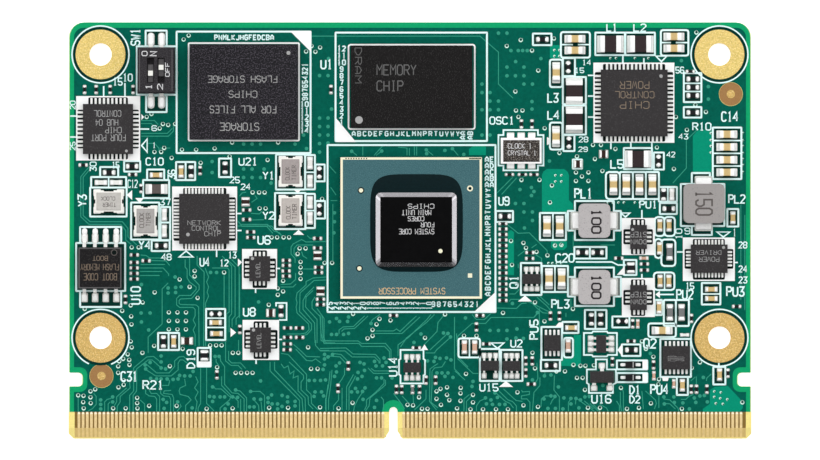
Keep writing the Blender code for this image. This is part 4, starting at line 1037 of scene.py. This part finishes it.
for index, (*box, radius) in enumerate(rows(BOXES) + [(*row, 0.0)[:5] for row in rows(DARK_BOXES)]):
    x, y, half_x, half_y = box_of(*box)
    wide, look = (FINE_LINE, "silk") if index in (1, 3) else (LINE, "ink")
    silk.line(rounded(x, y, half_x, half_y, max(radius * STEP, 0.04)), wide, ROOT,
              1.2125 + 0.0006 * (index % 6), look, closed=True)
    # The smaller boxes get a sheet of painted shadow inside, round the part
    if index >= large:
        shade_sheets.plate(rounded(x, y, half_x - 0.08, half_y - 0.08, max(radius * STEP, 0.08)), 1.196,
                       1.2062 + 0.0006 * (index % 5), "opening")
for values in rows(FIELDS):
    silk.plate(corners(*box_of(*values[:4])), ROOT, 1.2166, "silk")
    for index in (0, 1):
        strip = values[4 + 4 * index:8 + 4 * index]
        shade_sheets.plate(rounded(*box_of(*strip), 0.15), 1.199, 1.2195 + 0.001 * index, "gap_painted_shade")
for outline in ways(POLYGONS):
    silk.plate(outline, ROOT, 1.2171, "silk")
for outline in ways(OUTLINES):
    silk.line(outline, LINE * 0.85, ROOT, 1.2161, "ink", closed=True)
for index, points in enumerate(ways(TICKS)):
    silk.line(points, LINE * 0.8, ROOT, 1.2175 + 0.0003 * (index % 5), "ink")
silk.plate(arc(*at(547, 141), 0.45, -90, 90, 10), ROOT, 1.214, "silk")
for (x, y), start, end in zip(HOLE_PLACES, (0, -68, 0, 0), (360, 246, 360, 360)):
    full = end - start >= 360
    path = arc(x, y, 3.42, start, end, 48)
    silk.line(path[:-1] if full else path, 0.17, ROOT, 1.214, "ink", closed=full)

# Part numbers: words, left, top, right, bottom and turn
NOTES = """SW1 131 29 139.5 45 90/U1 321 60 332 68.5 0/L1 607 24 617 31 0/L2 634 24 646 31 0/L3 548
93.5 558 102 0/L4 548 111 559 119 0/L5 611 160 623 168 0/OSC1 490 117 514 124 0/C10 146 158 163 165
0/U21 239 158 257 165 0/C12 127.8 180 137.2 187.5 0/Y1 263 172 274 179 0/Y2 263 212 274 219 0/Y3 78
195 86 206 90/Y4 139 241 150 249 0/U4 200 258 209 266 0/U6 258 236 270 244 0/U8 243.5 308 255 316
0/U10 131 287 140 304 90/U9 499 197 509 205 0/PL1 575 189 592 198 0/PL3 552 300 569 308 0/PL2 729
195 745 203 0/R10 693 123 711 130 0/C14 722 112 738 121 0/PU1 640 201 657 208 0/PU3 727 287 744 296
0/PU2 677 290 693 299 0/PU5 530 320 538 339 90/C20 556 254 574 262 0/Q1 510 276 518 288 90/U2 511
340 522 347 0/Q2 644 339 656 348 0/C31 121 372 137 381 0/R21 143 381 163 389 0/D19 187 350 194.5
368 90/U14 389 358 397 376 90/U15 480 384 498 391 0/U16 592 395 611 403 0/D1 630 386 640 394 0/D2
630 396 640 403 0/PU4 651 385 668 394 0/15 113 78 122 85 0/10 123 74 132 81 0/14 582.6 59.9 590.8
64.8 0/15 575 67.9 584 72.6 0/28 579 136.9 588 141.9 0/29 578.6 147 587.5 151.5 0/56 676 67 684 73
0/43 679 134 688 139 0/42 667 152 675 157 0/20 70 101 75 109 90/25 70 142 75 150 90/30 90 162 96
171 90/15 112 162 119 168 0/36 168 170 175 179 90/37 160 199 170 205 0/48 161.5 254 171 260 0/25
230 177 239.4 182.8 0/24 241 184 250 189.5 0/13 228.5 252 236 258 0/12 220 260 228 266 0/1 733.5
229 736 236 0/28 739 242 747 248 0/24 739 266 747 272 0/23 739 277 747 283 0/15 686 283 694 289 0/9
685 228 690 234 0/10 676 229 682 239 90/6 151.8 125.6 156.6 130.6 0/1 152.8 142.8 155.3 147.7 0"""
write_rows(silk, NOTES, ROOT, 1.2186, "ink", 0.18)


# Letters evenly spaced: start, end, place across, 1 for a column, turn, width, height and weight
LETTERS = {
    "YWVUTRPNMLKJHGFEDCBA": "190.2 294.1 487.9 1 90 4.8 2.9 0.27",
    "EDCBA": "159.4 184.7 491.8 1 0 3 4.8 0.27", "AAAAA": "159.4 184.7 486.9 1 0 3 4.8 0.27",
    "987654321": "433.3 477.2 304.2 0 0 2.8 4.6 0.27/69 122.3 341.5 1 0 2.8 4.6 0.27",
    "5432109876543210": "329.6 429 303.4 0 90 5.2 2.2 0.27",
    "2222221111111111": "329.6 429 308.1 0 90 5.2 2.2 0.27",
    "210": "48.5 62.3 343.9 1 0 2.8 4.8 0.27", "111": "48.5 62.3 339.1 1 0 2.4 4.8 0.36",
    "ABCDEFGHJKLMNPRTUVWY": "353.7 457.8 133.6 0 0 2.9 4.4 0.27",
    "AB": "462.8 470.2 133 0 90 4.6 2.8 0.27", "AA": "462.8 470.2 137.5 0 90 4.6 2.8 0.27",
    "PNMLKJHGFEDCBA": "216 272 37.3 0 0 2.7 4.6 0.27",
    "123456789": "64.9 98.7 304.9 1 90 4.8 2.5 0.27",
    "01234": "104.1 130.2 306.7 1 0 2.9 4.8 0.27", "11111": "104.1 130.2 302.2 1 0 2.4 4.8 0.36",
}
for letters, text in LETTERS.items():
    for start, end, across, column, turn, wide, tall, weight in rows(text):
        for index, letter in enumerate(letters):
            x, y = swapped(column, start + (end - start) * index / (len(letters) - 1), across)
            write(silk, letter, x - wide / 2, y - tall / 2, x + wide / 2, y + tall / 2, turn,
                  ROOT, 1.2186, "ink", weight)

# Words that say what a package does, by finish and level: words, left, top, right, bottom and turn
TITLES = {
    ("mark_dim", 2.302): """MEMORY 377 65 416 75 0/CHIP 377 81 403 91 0/DRAM 355 48 361.5 83
        270""",
    ("mark", 2.402): """FLASH STORAGE 208 76 277 82.5 180/CHIPS 229 91 257 97.5 180/FOR ALL FILES
        210 106 276 113 180/STORAGE 220 123 259 130.5 180""",
    ("mark_pale", 3.201): """SYSTEM CORE 399 229 434 234 180/FOUR 421 222.5 434 227 180/CORES 408
        216.5 424 221 180/MAIN UNIT 402 210 431 215 180/CHIPS 408 204 434 208.5 180""",
    ("mark_gold", 2.301): """SYSTEM PROCESSOR 379 288 445 294 180""",
    ("mark_brown", 2.152): """POWER 620 81.5 649 88.5 180/CONTROL 615 91.5 654 98 180/CHIP 620
        101.5 649 108.5 180""",
    ("mark", 2.152): """CONTROL 94 110.5 121 116.5 180/HUB 04 95.5 119.5 118 125.5 180/CHIP 105.5
        127.2 121.5 133 180/FOUR PORT 91.5 134.5 125.5 140.8 180/NETWORK 187.7 220.7 220.7 225
        0/CONTROL 192 226 220.7 230.5 0/CHIP 204.6 231.4 220.7 236 0/DRIVER 696 250.5 721 254.5
        180/POWER 699 257 719 261.5 180/STEP 630.8 232 646.3 237 180/DOWN 631 239.5 646 244
        180/STEP 630.8 292 646.3 297 180/DOWN 631 299.5 646 304 180/LEVEL 256 262 260 277 90/LEVEL
        257 333 261 348 90/STEP 668 356 684 361 90""",
    ("mark_brown", 3.202): """BOOT 93 256 108 260.5 180/FLASH MEMORY 81 264 119 270 180/BOOT CODE
        84 273.5 117 280 180""",
    ("mark_black", 3.102): """100 591.7 209.5 600.5 233 270/100 591.7 275 600.5 298.3 270""",
    ("mark_dark", 4.102): """150 695.5 191 711.5 215 270""",
    ("mark_pale", 2.452): """CLOCK 1 508 143.6 531.5 148.4 0/CRYSTAL 1 508 150.8 536 155.2 0""",
    ("mark_dark", 2.052): """CLOCK 101 196.8 115 200.4 180/TIMER 103 202.8 115.8 206.6 180/CLOCK
        139.6 213 143.9 227.5 90/TIMER 146.2 213 150.4 226 90/CLOCK 285.6 167.2 289.4 180 90/TIMER
        292 165.6 296 180 90/CLOCK 286.2 206 290.4 219 90/TIMER 292.4 204.2 296.6 219 90""",
}
WEIGHTS = {"mark_black": 0.20, "mark_dark": 0.14, "mark_pale": 0.12}
for (look, z), text in TITLES.items():
    write_rows(marks, text, z - 0.004, z + 0.004, look, WEIGHTS.get(look, 0.10))
# First pins and marks: place, radius, level and finish
for x, y, radius, z, look in (
    (359, 120, 0.46, 2.302, "mark"), (288.5, 53, 0.24, 2.402, "mark"),
    (440.4, 251, 0.26, 3.201, "mark_cream"), (660.8, 76.3, 0.23, 2.112, "mark"),
    (126.2, 110.8, 0.23, 2.148, "mould"), (226.0, 200.5, 0.22, 2.148, "mould"),
    (126.5, 151, 0.17, 2.152, "mark"), (188, 234.5, 0.22, 2.152, "mark"),
    (252.5, 258.5, 0.20, 2.152, "mark"), (253.5, 330, 0.20, 2.152, "mark"),
    (723.5, 247.5, 0.18, 2.152, "mark"), (632.5, 229.5, 0.17, 2.152, "mark"),
    (361, 190.4, 0.40, 2.297, "underfill"), (361, 190.4, 0.26, 2.301, "mark_cream"),
    (470, 188.4, 0.36, 2.297, "mark_cream"), (470, 188.4, 0.20, 2.301, "underfill"),
    (359.4, 268.4, 0.40, 2.297, "underfill"), (359.4, 268.4, 0.26, 2.301, "mark_cream"),
):
    marks.plate(circle(*at(x, y), radius, 16), z - 0.004, z + 0.004, look)
# The boot flash's first-pin dimple: a dark ring round a black middle of painted shade
x, y = at(114.5, 252.5)
marks.ring(circle(x, y, 0.38, 20), circle(x, y, 0.29, 20), 3.196, 3.203, "mark_dark")
marks.plate(circle(x, y, 0.29, 20), 3.196, 3.2015, "gap_painted_shade")
# A light frame round the boot flash's top: painted highlight on its bevelled edges
x, y = at(100.3, 268.0)
marks.ring(rounded(x, y, 2.56, 2.41, 0.06), rounded(x, y, 2.43, 2.30, 0.04), 3.19, 3.2008,
           "mark_frame")
# The crystals' castellations: black plates of painted shade in the notches
for x, y, half_x, half_y in castellations:
    marks.plate(rounded(x, y, half_x, half_y, 0.05), 1.89, 1.9035, "gap_painted_shade")
marks.plate(rounded(*at(470, 275.5), 0.26, 0.26, 0.04), 2.297, 2.303, "mark_cream")
for index in range(9):
    for left, right in ((345.5, 366), (469, 480)):
        px = left + (right - left) * index / 8
        marks.plate(corners(*box_of(px, 157.9, px + 1.2, 159.2)), 2.31, 2.316, "gap_painted_shade")
for text, weight in (
    ("O 142.4 51.6 147.6 56 90/N 150.4 52 157 56 90", 0.16),
    ("OFF 165.8 62.8 169.8 76.6 90/1 146.5 84.3 152 89.8 90/2 158 84.3 163 89.8 90", 0.18),
):
    write_rows(marks, text, 3.796, 3.804, "mark_pale", weight)
# Light lines along the switch housing's top: painted highlight on its bevelled edges
for side in (-1, 1):
    x = switch_x + side * 1.95
    marks.line([(x, switch_y - 2.5), (x, switch_y + 2.5)], 0.08, 3.79, 3.8025, "mark_frame")


# Vias: open ones show a dark middle of painted shade, set off-centre in a pale ring that is partly
# their lighter copper and partly painted highlight; filled ones only a lighter disc

OPEN_VIAS = """188.5 35.5/183.5 39.5/311.5 46/320 47.5/306 51.5/315.3 51.8/520.8 40/506.8 46/532
50.5/554 38.5/538.3 70.5/515.4 91.5/696.5 32.5/146.5 117/151.3 114/162.8 124/168 125/175 124/159.5
128.5/164 148/154.3 152/161 152/171.5 158/181.8 149.8/196 149.8/200.5 163/214.5 148.5/232 142.5/278
142.5/267.5 160/229.5 156.5/516 110.5/522.5 110.5/518.5 117/544.7 128.3/577 156.5/595 159/559.5
153/593 145/601 145/615.5 149/602.5 171/576 172.5/588.5 172.5/582 176.5/576 181/588.5 181/539.5
180/521.5 180/706 112/695.5 105/676 117/687 130/657 147.5/674 169/131.5 247.5/138.5 247.5/252.5
192.5/259 192.5/264.5 192.5/259.5 208.5/265.5 208.5/271.5 237.5/277 237.5/283.5 237.5/289
237.5/299.5 248.5/305.5 248.5/297.5 254/300.5 262/322 199/324.5 263/332 263/552 185.5/550
202.5/523.5 243/526 248/536.5 252/547.5 255.5/555 245.5/561.5 245/511 241/512 265/154.5 292.5/142.5
302.5/130.5 305.5/122 311/131 316.5/131.3 324.5/130.5 341.5/131.5 347.5/84.5 309/179.5 279.5/189.5
287/194.5 271/194.5 276.5/197.5 298/168.7 312.5/177.3 312.5/185.8 312.5/168.7 321/177.3 321/185.8
321/168.7 329.5/177.3 329.5/185.8 329.5/154 346/300.5 267.5/300.5 273/300.5 279/283 281/283
291.5/277.5 288.5/277.7 295/268.7 305/224 272.5/308 347.5/210 345.5/216 345.5/221.5 345.5/353
314/379.5 319/376.5 324.5/372.5 330/372.5 336/367.5 338.5/390.5 320.5/445 314.5/425 338/464
336/476.5 336/535 302.5/503 313/544.5 321.5/573 309/127.5 354.5/142.3 353/123 359/129 360/119
361.5/129.3 365/118 366.5/169.7 366.3/118 373/123.5 380.5/123.5 385/118.3 387.5/95 389.5/90.3
391.5/78 395.5/83.3 396/90.3 397.5/83 402.3/90.5 403.3/83.5 408.5/113 408.5/125.5 408.5/137 398/137
403.3/137.3 408.5/149 406/176.5 406/182.5 349/232.7 353/238.2 353/217 367.5/235.5 373/241 373/247
373/252.5 373/206.5 409/232.5 408.5/269 408/288 408/320 407.5/338.5 408.5/311 369/317.5 369/352.5
403/419 397.5/407.5 405/413 405.5/422 409/427.5 409/440.5 389/447 387.5/436.5 391.5/447 395/460.7
388/460.5 393.5/473 395/436.5 399/449.3 400.3/460.5 401/473 402.5/441 405/457 408.5/470.5 409.5/466
374/532.5 353/535 368.5/573.5 365/580.5 366/585.5 366/594 365.5/565 371.5/577 378/582.7 378/556.5
371.5/585 390/517.5 392.5/523.5 405.5/538 407/483 409.5/496 409.5/508 409.5/588 408/600 408/742.5
402.5/653.5 357/700 362.5/692 368/646 349/642 341.5/659 379.5/658.5 384.5/651 403.5/627 409/639
408/682 409/621 388"""
SMALL_VIAS = """554.5 50/559.5 50/554.5 56/559.5 56/711 133/711 140/711 146/711 152.5/742.8
133/742.8 140.5/742.8 146/742.8 153/742.8 159/742.8 165/742.8 172/555.5 175.3/561.5 175.3/555.5
181.5/561.5 181.5/554.3 245.2/562.3 245.2/608 202.5/613 202.5/618.5 202.5/624 202.5/635 202.5/640
202.5/646 202.5/548.5 263.2/552.5 263.2/557 263.2/561.3 263.2/714.5 391.5/721 392.5/714.5 397/720.5
398.5/727.5 399.5/716 403.5/723 404/610.6 58/616 58/635 58/648.5 58"""
FILLED_VIAS = """351.6 151.2/381.7 151/426.3 149.8/444.9 150.4/452.4 148.6/463.8 154.4/426.7
153.6/334.4 212.8/334.4 221.7/333.9 232.8/498.5 33/507 33/511 50.5/518.3 50.5/522.7 50.5/527.3
50.5/541 58.5/515.7 61.5/507 67/524 67/507 75.7/515.5 75.7/524 75.7/524 84/532.5 84/482 84/482
92.5/490 92.5/490 101/498.5 101/532 101.5/482 109.7/490 109.7/498.5 109.7/532 109/482 135/490
135/549.5 161/319.5 75.5/328 75.5/328.5 58.5/319.5 118/328 118/319.5 126.5/328 126.5/319.5 135/328
135/319.5 143.5/328 143/319.5 152/331.5 109/303.5 135/295 144/306.5 148.5/243.5 144/252 144/260.5
144/243.5 169/252 169/264 169/243.5 177.5/252 177.5/260.5 177.5/271 183/212 161.5/212 172.5/681.5
60.5/708.5 86.5/708.5 99/515.5 203.5/524 203.5/524 212/532.5 212/532.5 220.5/524.5 228/520
189.5/531.5 187.5/534 191.5/531.5 195.5/141.3 284.5/141 313/150 313/141.3 322/148.5 330/168
288/175.5 287.5/181 287/168 293/175.5 292.5/175 277/258.5 302/210.5 272.5/216.5 272.5/336.5
318.5/329.5 322/339.5 321.5/331.5 334.5/336.5 334.5/348.5 317/347.5 321.5/343.5 334.5/348.5
333.5/371 323.5/465.5 318/443.5 333/448 333.5/421 334/450.5 337/414 342.5/490 330.5/498.5 330.5/507
330.5/517 329/507 339/516 338/523.5 338.5/512.5 303.5/537.5 312.5/161 356/161 362/150 362.5/145
365/161 368/145.5 369/165.5 369/179.5 375.5/184.5 376/190 376/193 371.5/150.5 378.5/156.5 379/161
379/167 379/173 379.5/178 379/112.5 397/112.5 402/100.5 400/100.5 404.5/100.5 409/163 399.5/166.5
402.5/177.5 402/164 408.5/192 408/215 356.5/219 356.5/260.5 381/212.5 387/235.5 390/250.5
391.5/209.5 396.5/214 397/220 397/224.5 397/232.5 397/237.5 397.5/212.5 401.5/228 404/254 399/260.5
399.5/268 398/271.5 395/282 395.5/287.5 397/268 402.5/272 404/277.5 404/287.5 402/295 401.5/295
406/282 406.5/249.5 407/254 407/277.5 409/225 409/309 380.5/314.5 380.5/320.5 380.5/325.5 380/315
392/321.5 392/323.5 396/314 396.5/324.5 354.5/332.5 354.5/328 357/324.5 359/324.5 365/323 369.5/336
366/339.5 363/336.5 372/334.5 376.5/363 399.5/365 388/355.5 388.5/362.5 391.5/351.5 392/357.5
392/376.5 400.5/374.5 407.5/374.5 361.5/360 362.5/364 364/376 366/382.5 366/358 372.5/364.5
370.5/362 376.5/357.5 379/376.5 378/381.5 378/384 358/386 362.5/435.5 357.5/440 358.5/446.5 358/451
360/434 361.5/427.5 361/437 373/442 373/448 373/445 376.5/453 377.5/392 378/473 381.5/472 386.5/495
393/497.5 397.5/485.5 398/491 400/486.5 404/492.5 404.5/499.5 404.5/505 404.5/544.5 376/551
375/558.5 387/551 396/555 396.5/544 399/548 408.5/555.5 408.5/564 398/571 398.5/576 398.5/580.5
400/571 404/585 397/589.5 396.5/579 408/563 409/532.5 380/603 385.5/650.5 353.5/703.5 377.5/700
396/704.5 395.5/694.5 398/696 402.5/707.5 402/674.5 402.5/683 403/689.5 409/674 397/664 397/664.5
404"""
vias = Piece("vias", "board")
for x, y in (at(*place) for place in rows(OPEN_VIAS)):
    # The dark middle sits off the ring's centre, so the ring shows a brighter crescent of painted
    # highlight on one side
    hole_x, hole_y = x + 0.01, y + 0.05
    for low, high, floor_low, floor_high in (
        (ROOT, 1.209, ROOT, 1.2066), (-0.006, 0.002, -0.003, 0.002),
    ):
        vias.ring(circle(x, y, 0.25, 12), circle(hole_x, hole_y, 0.165, 12), low, high, "via_ring_highlight")
        vias.plate(circle(hole_x, hole_y, 0.17, 12), floor_low, floor_high, "via_hole_shade")
# Small vias: a pale disc with an off-centre dark disc, as painted highlight and painted shade
for x, y in (at(*place) for place in rows(SMALL_VIAS)):
    vias.plate(circle(x, y, 0.15, 10), ROOT, 1.2078, "via_ring_highlight")
    vias.plate(circle(x + 0.05, y - 0.04, 0.09, 8), ROOT, 1.2084, "via_hole_shade")
for x, y in (at(*place) for place in rows(FILLED_VIAS)):
    for low, high in ((ROOT, 1.2072), (-0.004, 0.002)):
        vias.plate(circle(x, y, 0.22, 12), low, high, "via_filled")
vias.make()

# Traces under the mask, as low ridges
TRACES = """311 36 169 0 18.5 16 0 32 14.5 14/88.9 166.7 -8.3 10 0 40 8.3 7.7 31.7 0 5 6.2 0 9.4
5.4 4.4/90 168.9 -7 8.3 0 38.4 7 6.1 32.2 0 5.6 6.6 0 8.4 8.9 8.3/141 120.5 13.4 0 3.6 4/141 123.5
10 0 4 3.5/141 133.3 26.2 0 5 -5/141 136.1 27.3 0 5 -5.1 0 -5/147.8 143.3 6.6 0 4.5 5 0 2.7/673 183
13.5 -15 0 -28 10.5 -10/160 148 10 0/508 225 10.3 8.3 11.1 -0.5 17.8 17.8 0 3.4/497.2 192.8 15.6
-15.6/501.7 194.4 15 -16.6/520.6 179.4 5 -4.4/531.7 247.8 5 -3.4/517.8 256 7.2 -5.4/536 255 5.7 3.3
0 3.7/518.3 263.9 0 4.4/509.4 294 5.6 0 4.4 -4.6/509.4 301.7 1.2 -2.3 10.4 0/533.9 317.4 4.4
-5.7/530.6 301.7 6.6 6.6 5.6 4.5 5.2 0.5/537 297.2 10 8.8 5 6/539.4 296 10 9/539.4 330 0
-21.7/600.6 245 14.4 0/573.3 235 0 12/566 312.8 0 4.2/571 299 0 11/239.4 196 2.8 -3.2 3.8 -0.6/255
195.5 2 3 -5.5 3.8/251 213.3 8.4 0.6 2.8 -2.9/251 220 13 -0.3/237.2 220.6 3.4 3.8 26.6 0 6.7 6.6
5.5 1.8 2.3 3.2/239 222 2.7 4.4 25 0 6.1 6.9/307.2 235.6 2.8 2.7 4 0/329.4 166 6.6 7.3/330.6 187.2
5.4 7.8/330.6 200.6 6.6 0/332.8 204 0 58/351.6 151.2 5.4 4.2/362.8 146 0 9.4/382.8 145.7 -8.8
9.7/381.7 151 -5.7 4.4/398 147 9 1 0 7.4/409.4 148 0 7.4/414.4 146 0 9.4/416.7 146 0 9.4/426.3
149.8 7 5.6/452.4 148.6 5.9 6.8/140.5 255 5.5 0.5 3.5 2.5 12.5 0/150.5 260.5 15.5 0.5 3.5 4.5/140.5
264.5 24.5 0/140 268 23 0 5.5 6 0 2/140 271.5 22 0/140 275.5 19.5 0/168 283 -6 6 0 35 -14 13 0
16/185 259.5 0 7.5 2 2.5 0 8.5 2.5 4 6.5 5 0 2.5 -5.5 6 -11 0 -3 3 0 6.5 3 2.5 13.5 0 2 2 0 6.5 -2
4 2.5 5 -2.5 5 2 5 0 11/189.5 256 0 19 9.5 10 0 4.5 -7.5 9 -11 0.5 -1.5 1.5 0 3 1.5 1 15.5 0.5 2.5
2 0.5 39/197 256 0 9 7 7 -0.5 74/205 268 3.5 9 -2 5 2 5 -1.5 5 1.5 4 -3 7 0 43/224 275 0 34/212 268
15.5 0 1.5 2 0 42 -2.5 2 0 26/222 256 9.5 10 0 48 -2.5 3 0 15/227 259.5 8 7.5 0 49 -3 3.5 0
7.5/231.5 259.5 7.5 7.5 0 49 -3 2.5 0 6.5/133.5 391 0 -23 13 -11 7 -0.5 5.5 4.5/136.5 391 0 -22
11.5 -9 4 0 8 7/133.5 391 -4 4.5 0 16.5/136.5 391 -3.5 4.5 0 16.5/129 377 1 11 -10 8.5 0 5.5 -3 4.5
0 5.5/126.5 388 -10 9 0 5 -2.5 4/146.5 364.5 10 8.5 12.5 0 5.5 -6.5 0 -5.5 4.5 -4 4.5 -0.5 4.5
4.5/145.5 369.5 10 6.5 15.5 0 7 -6 0 -7 2 -3 3 0 5 4/162 385.5 6.5 0 1 -4.5 -3 -3/145.5 389.5 0 4
3.5 2.5 5.5 0.5 2 2.5 0 13/149 390 2 3.5 5.5 0 3 3 0 15.5/160.5 389 0 4.5 3 2.5 5.5 0.5 1.5 2.5 0
13/184.5 379 1 6.5 -5.5 2.5 -1 3 1 3.5 8 2 3 3.5 -5.5 5.5 0 6.5/171 390.5 -7 0.5 -0.5 2.5 8.5 1 1.5
3.5 0 14/104.5 412 0 -10 2.5 -2.5 4 -1/108 412 0 -8 2 -2/78 398 0 14/93.5 393.5 2.5 3 0 8 -4 4.5 -4
2/140 400 4.5 4 0 8/176.5 412 4.5 -5.5 -1 -2.5/195.5 376.5 2.5 5.5 -3.5 6 3.5 4 -3 6 2 4 -1.5
10/200.5 368 0 35.5 -2.5 4.5 0 4/206.5 367 0 36.5 7.5 7.5/216 359 0 3 3 4/220 356.5 0.5 4.5 4 5.5 0
18 7.5 8.5 6 0.5 6 5.5 0 13/221.5 376.5 0 9 9.5 10 -1.5 4.5 -9.5 8 0 4/213 386.5 2.5 2.5 5.5 0 9
8/235.5 390.5 4.5 0.5 6.5 7 0 14/232 395.5 6 5.5 0 7/240.5 399 0 13/251 391.5 9 0 4.5 4 0 16.5/254
400 4.5 5.5 0.5 6.5/261 402 1 10/270 362 0 9 29.5 29.5 0 11.5/274.5 362 0 8 27.5 29 1 13/289 362
14.5 13.5 0 3.5 -2.5 3 0 8 7 6.5 0.5 8 4.5 4.5/281 353.5 7 1 18.5 20 0 15.5 4.5 4.5 0.5 9 6.5
6.5/281 364 3 4 4 -2 2 8 4 -3 -1 7 5 -2 0 15 7 7 0.5 14/225.5 340 0 21 5.5 4.5 7 0 4 4/228.5 351 0
9 3 3 9 0 5 5.5/238.5 340 0 11/293.5 344.5 8.5 7.5 4.5 4.5 13.5 0.5/295.5 349 11 11.5 5.5 0.5 3.5
-2 5.5 4/315.5 340 0 5.5 4.5 5 9 0/328 384.5 -2 15.5 0 12/320 315 1 18.5 3 10 35 0 2.5 3 23 0 5 5 0
6.5/322 315 1 21 2 5 33 0 3.5 2.5 24 0 5.5 6.5 0 8/320 351 25 0 7 6 22.5 0 4.5 4.5 0 2/320 348.5 26
-0.5 7 6 22.5 0.5 4.5 5 0 4/329 356 11 1 6 6.5/332 353.5 9 1 7 7/364.5 316 -11 10.5 -10.5 0.5 -4 3
0 4/368 316 -13.5 12.5 -10.5 0.5 -2.5 2.5/371 322.5 1 -2.5 8 -5.5/375.5 331 18 0 3 -2 3.5 2.5 12
-11.5 4.5 -4/373.5 333.5 28.5 0 18 -16.5/398 356 0 -11 11 -8 5.5 -5.5 12 -11.5 4.5 -5.5/400.5 347 6
-9 20 -15.5 8 -8/444.5 314.5 -6.5 8 -1 9 -12.5 13/451 337 -14.5 13 -2 3 -9 0/446.5 334.5 -16.5
15.5/454.5 317 0 52 5.5 5.5/456.5 333.5 1.5 23.5 10 10/445.5 361.5 -3.5 5.5 -7.5 1 -2.5 3.5 0 14.5
-1 16.5 7 5.5/438 363.5 -8 5.5 -0.5 32.5 7 8.5/426 390 0 9 -11.5 11/393.5 393.5 8.5 11 2.5 4.5/402
396 7 7.5/413 394.5 0.5 9/368 368 5.5 5.5 15.5 0/371 368.5 3.5 2.5 14.5 0/384 379 0 4.5 -8.5 9 -9
7.5 0 6 -2 4/385.5 380 0 5 -15.5 13 -1 8 -3.5 5/353.5 374.5 -2.5 4.5 -4.5 8 0 23/355.5 376 -2 4
-4.5 8 0 22/344.5 368 0 6.5 -2.5 4.5 -4 5.5/330 371.5 -1.5 14.5 -3 14 0 10/332 370 -1.5 16 -2 14 0
10/338.5 393.5 0 6.5 -5 6 0 4/342 388 0 22/363 391.5 -5 7.5 -3.5 7 -1 5/381 397 2.5 3 0 10/496.5
308 20 0.5 5 -5 5.5 -0.5/538.5 312.5 -4.5 5 -43 0 -5.5 6 -13.5 0 -14 12.5 -0.5 3.5/472 314.5 4.5 5
8 0 6.5 -6/457.5 358.5 15.5 15 5.5 0/455 371 10 9/498 390 10 10 4.5 1.5 4 4.5 0 5.5/496.5 393.5 9 8
4.5 2 3.5 4.5/503.5 389 12.5 11.5 6.5 1/521.5 390 1 2 7 -0.5 0 3 -8 1.5 0 3 5.5 0 3 3.5 0 9/532.5
411.5 1.5 -19 6 -7 0 -8/537 363 1 15.5 -4 7/554.5 375.5 -0.5 14.5 5.5 7 0 14.5/541 407 0.5 -8 3.5
-3 7 0/550.5 404.5 2 -4.5 3 -3/525 300 23.5 11.5/466.5 411.5 0 -10 4.5 -4.5/464 411.5 0 -12.5 5.5
-4.5/476.5 411.5 0 -5.5 3.5 -5 6.5 -3/568.5 411.5 0 -9 2.5 -3.5/575.5 404.5 0.5 -5.5/577.5 399 17
12.5/584.5 401 9 8/645.5 391 10 9 1 3.5 -2 5.5/659 395.5 0 12.5/663.5 399 6.5 1 8 8 1 3.5/665.5
403.5 4.5 0.5 5.5 5/681 399.5 5 0 3 -3 4.5 -2/706.5 381 0.5 -3 4.5 -4/696.5 376.5 0 8/691 381 4.5
-4/616.5 401 3 4.5 0 6/620.5 392 0 11.5 1 8/622 388 1.5 4 0 19.5/642 391 1.5 18/590 403.5 8
7.5/593.5 404.5 6.5 7/600 404.5 6.5 3.5 2 3.5/235 226 36.5 0 8 8/326 241.5 -20 0.5 -4.5 -2.5 -8.5
4.5 -2 3 0 7 4 4.5 0 4.5/313 245 -16 0 -3 3.5 0 5.5 2.5 3/280.5 284.5 10 -0.5 5 -4.5 0 -6.5/280.5
287 12.5 0 3 -3/326 277 -13 1 -7 3.5 0 3.5 -9 8 -1 5.5 1 4.5 -1 4 1 6 11.5 11 0.5 5.5 -3 3.5 -5.5 1
-13.5 0/326 280 -12 0.5 -14 12.5 -0.5 18.5 12 12.5 0 5.5 -4.5 5 -4 1/314 287 -8 8 -3 5.5 0 9 11.5
13.5 0.5 20/313 290.5 -7 6.5 -0.5 10 11.5 12.5 0 23.5/315 297 -3 4.5 0 7 8.5 8.5 0.5 23.5 6 2.5 8
0/317 308.5 7 10 0 22 11 0.5/303 269 12 0/301.5 251.5 1.5 4.5 4 2.5/239.5 274 0 44/741 205 0 95/745
215 0 95/545 356 0 20"""
routes = Piece("traces", "board")
for index, points in enumerate(ways(TRACES)):
    lift = 0.0006 * (index % 5)
    routes.line(points, 0.10, 1.197, 1.2031 + lift, "trace")
    routes.line(points, 0.10, -0.0015 - lift, 0.004, "trace")
routes.make()
silk.make()
shade_sheets.make()
joints.make(smooth=True)
pads.make()
marks.make()

low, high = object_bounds()
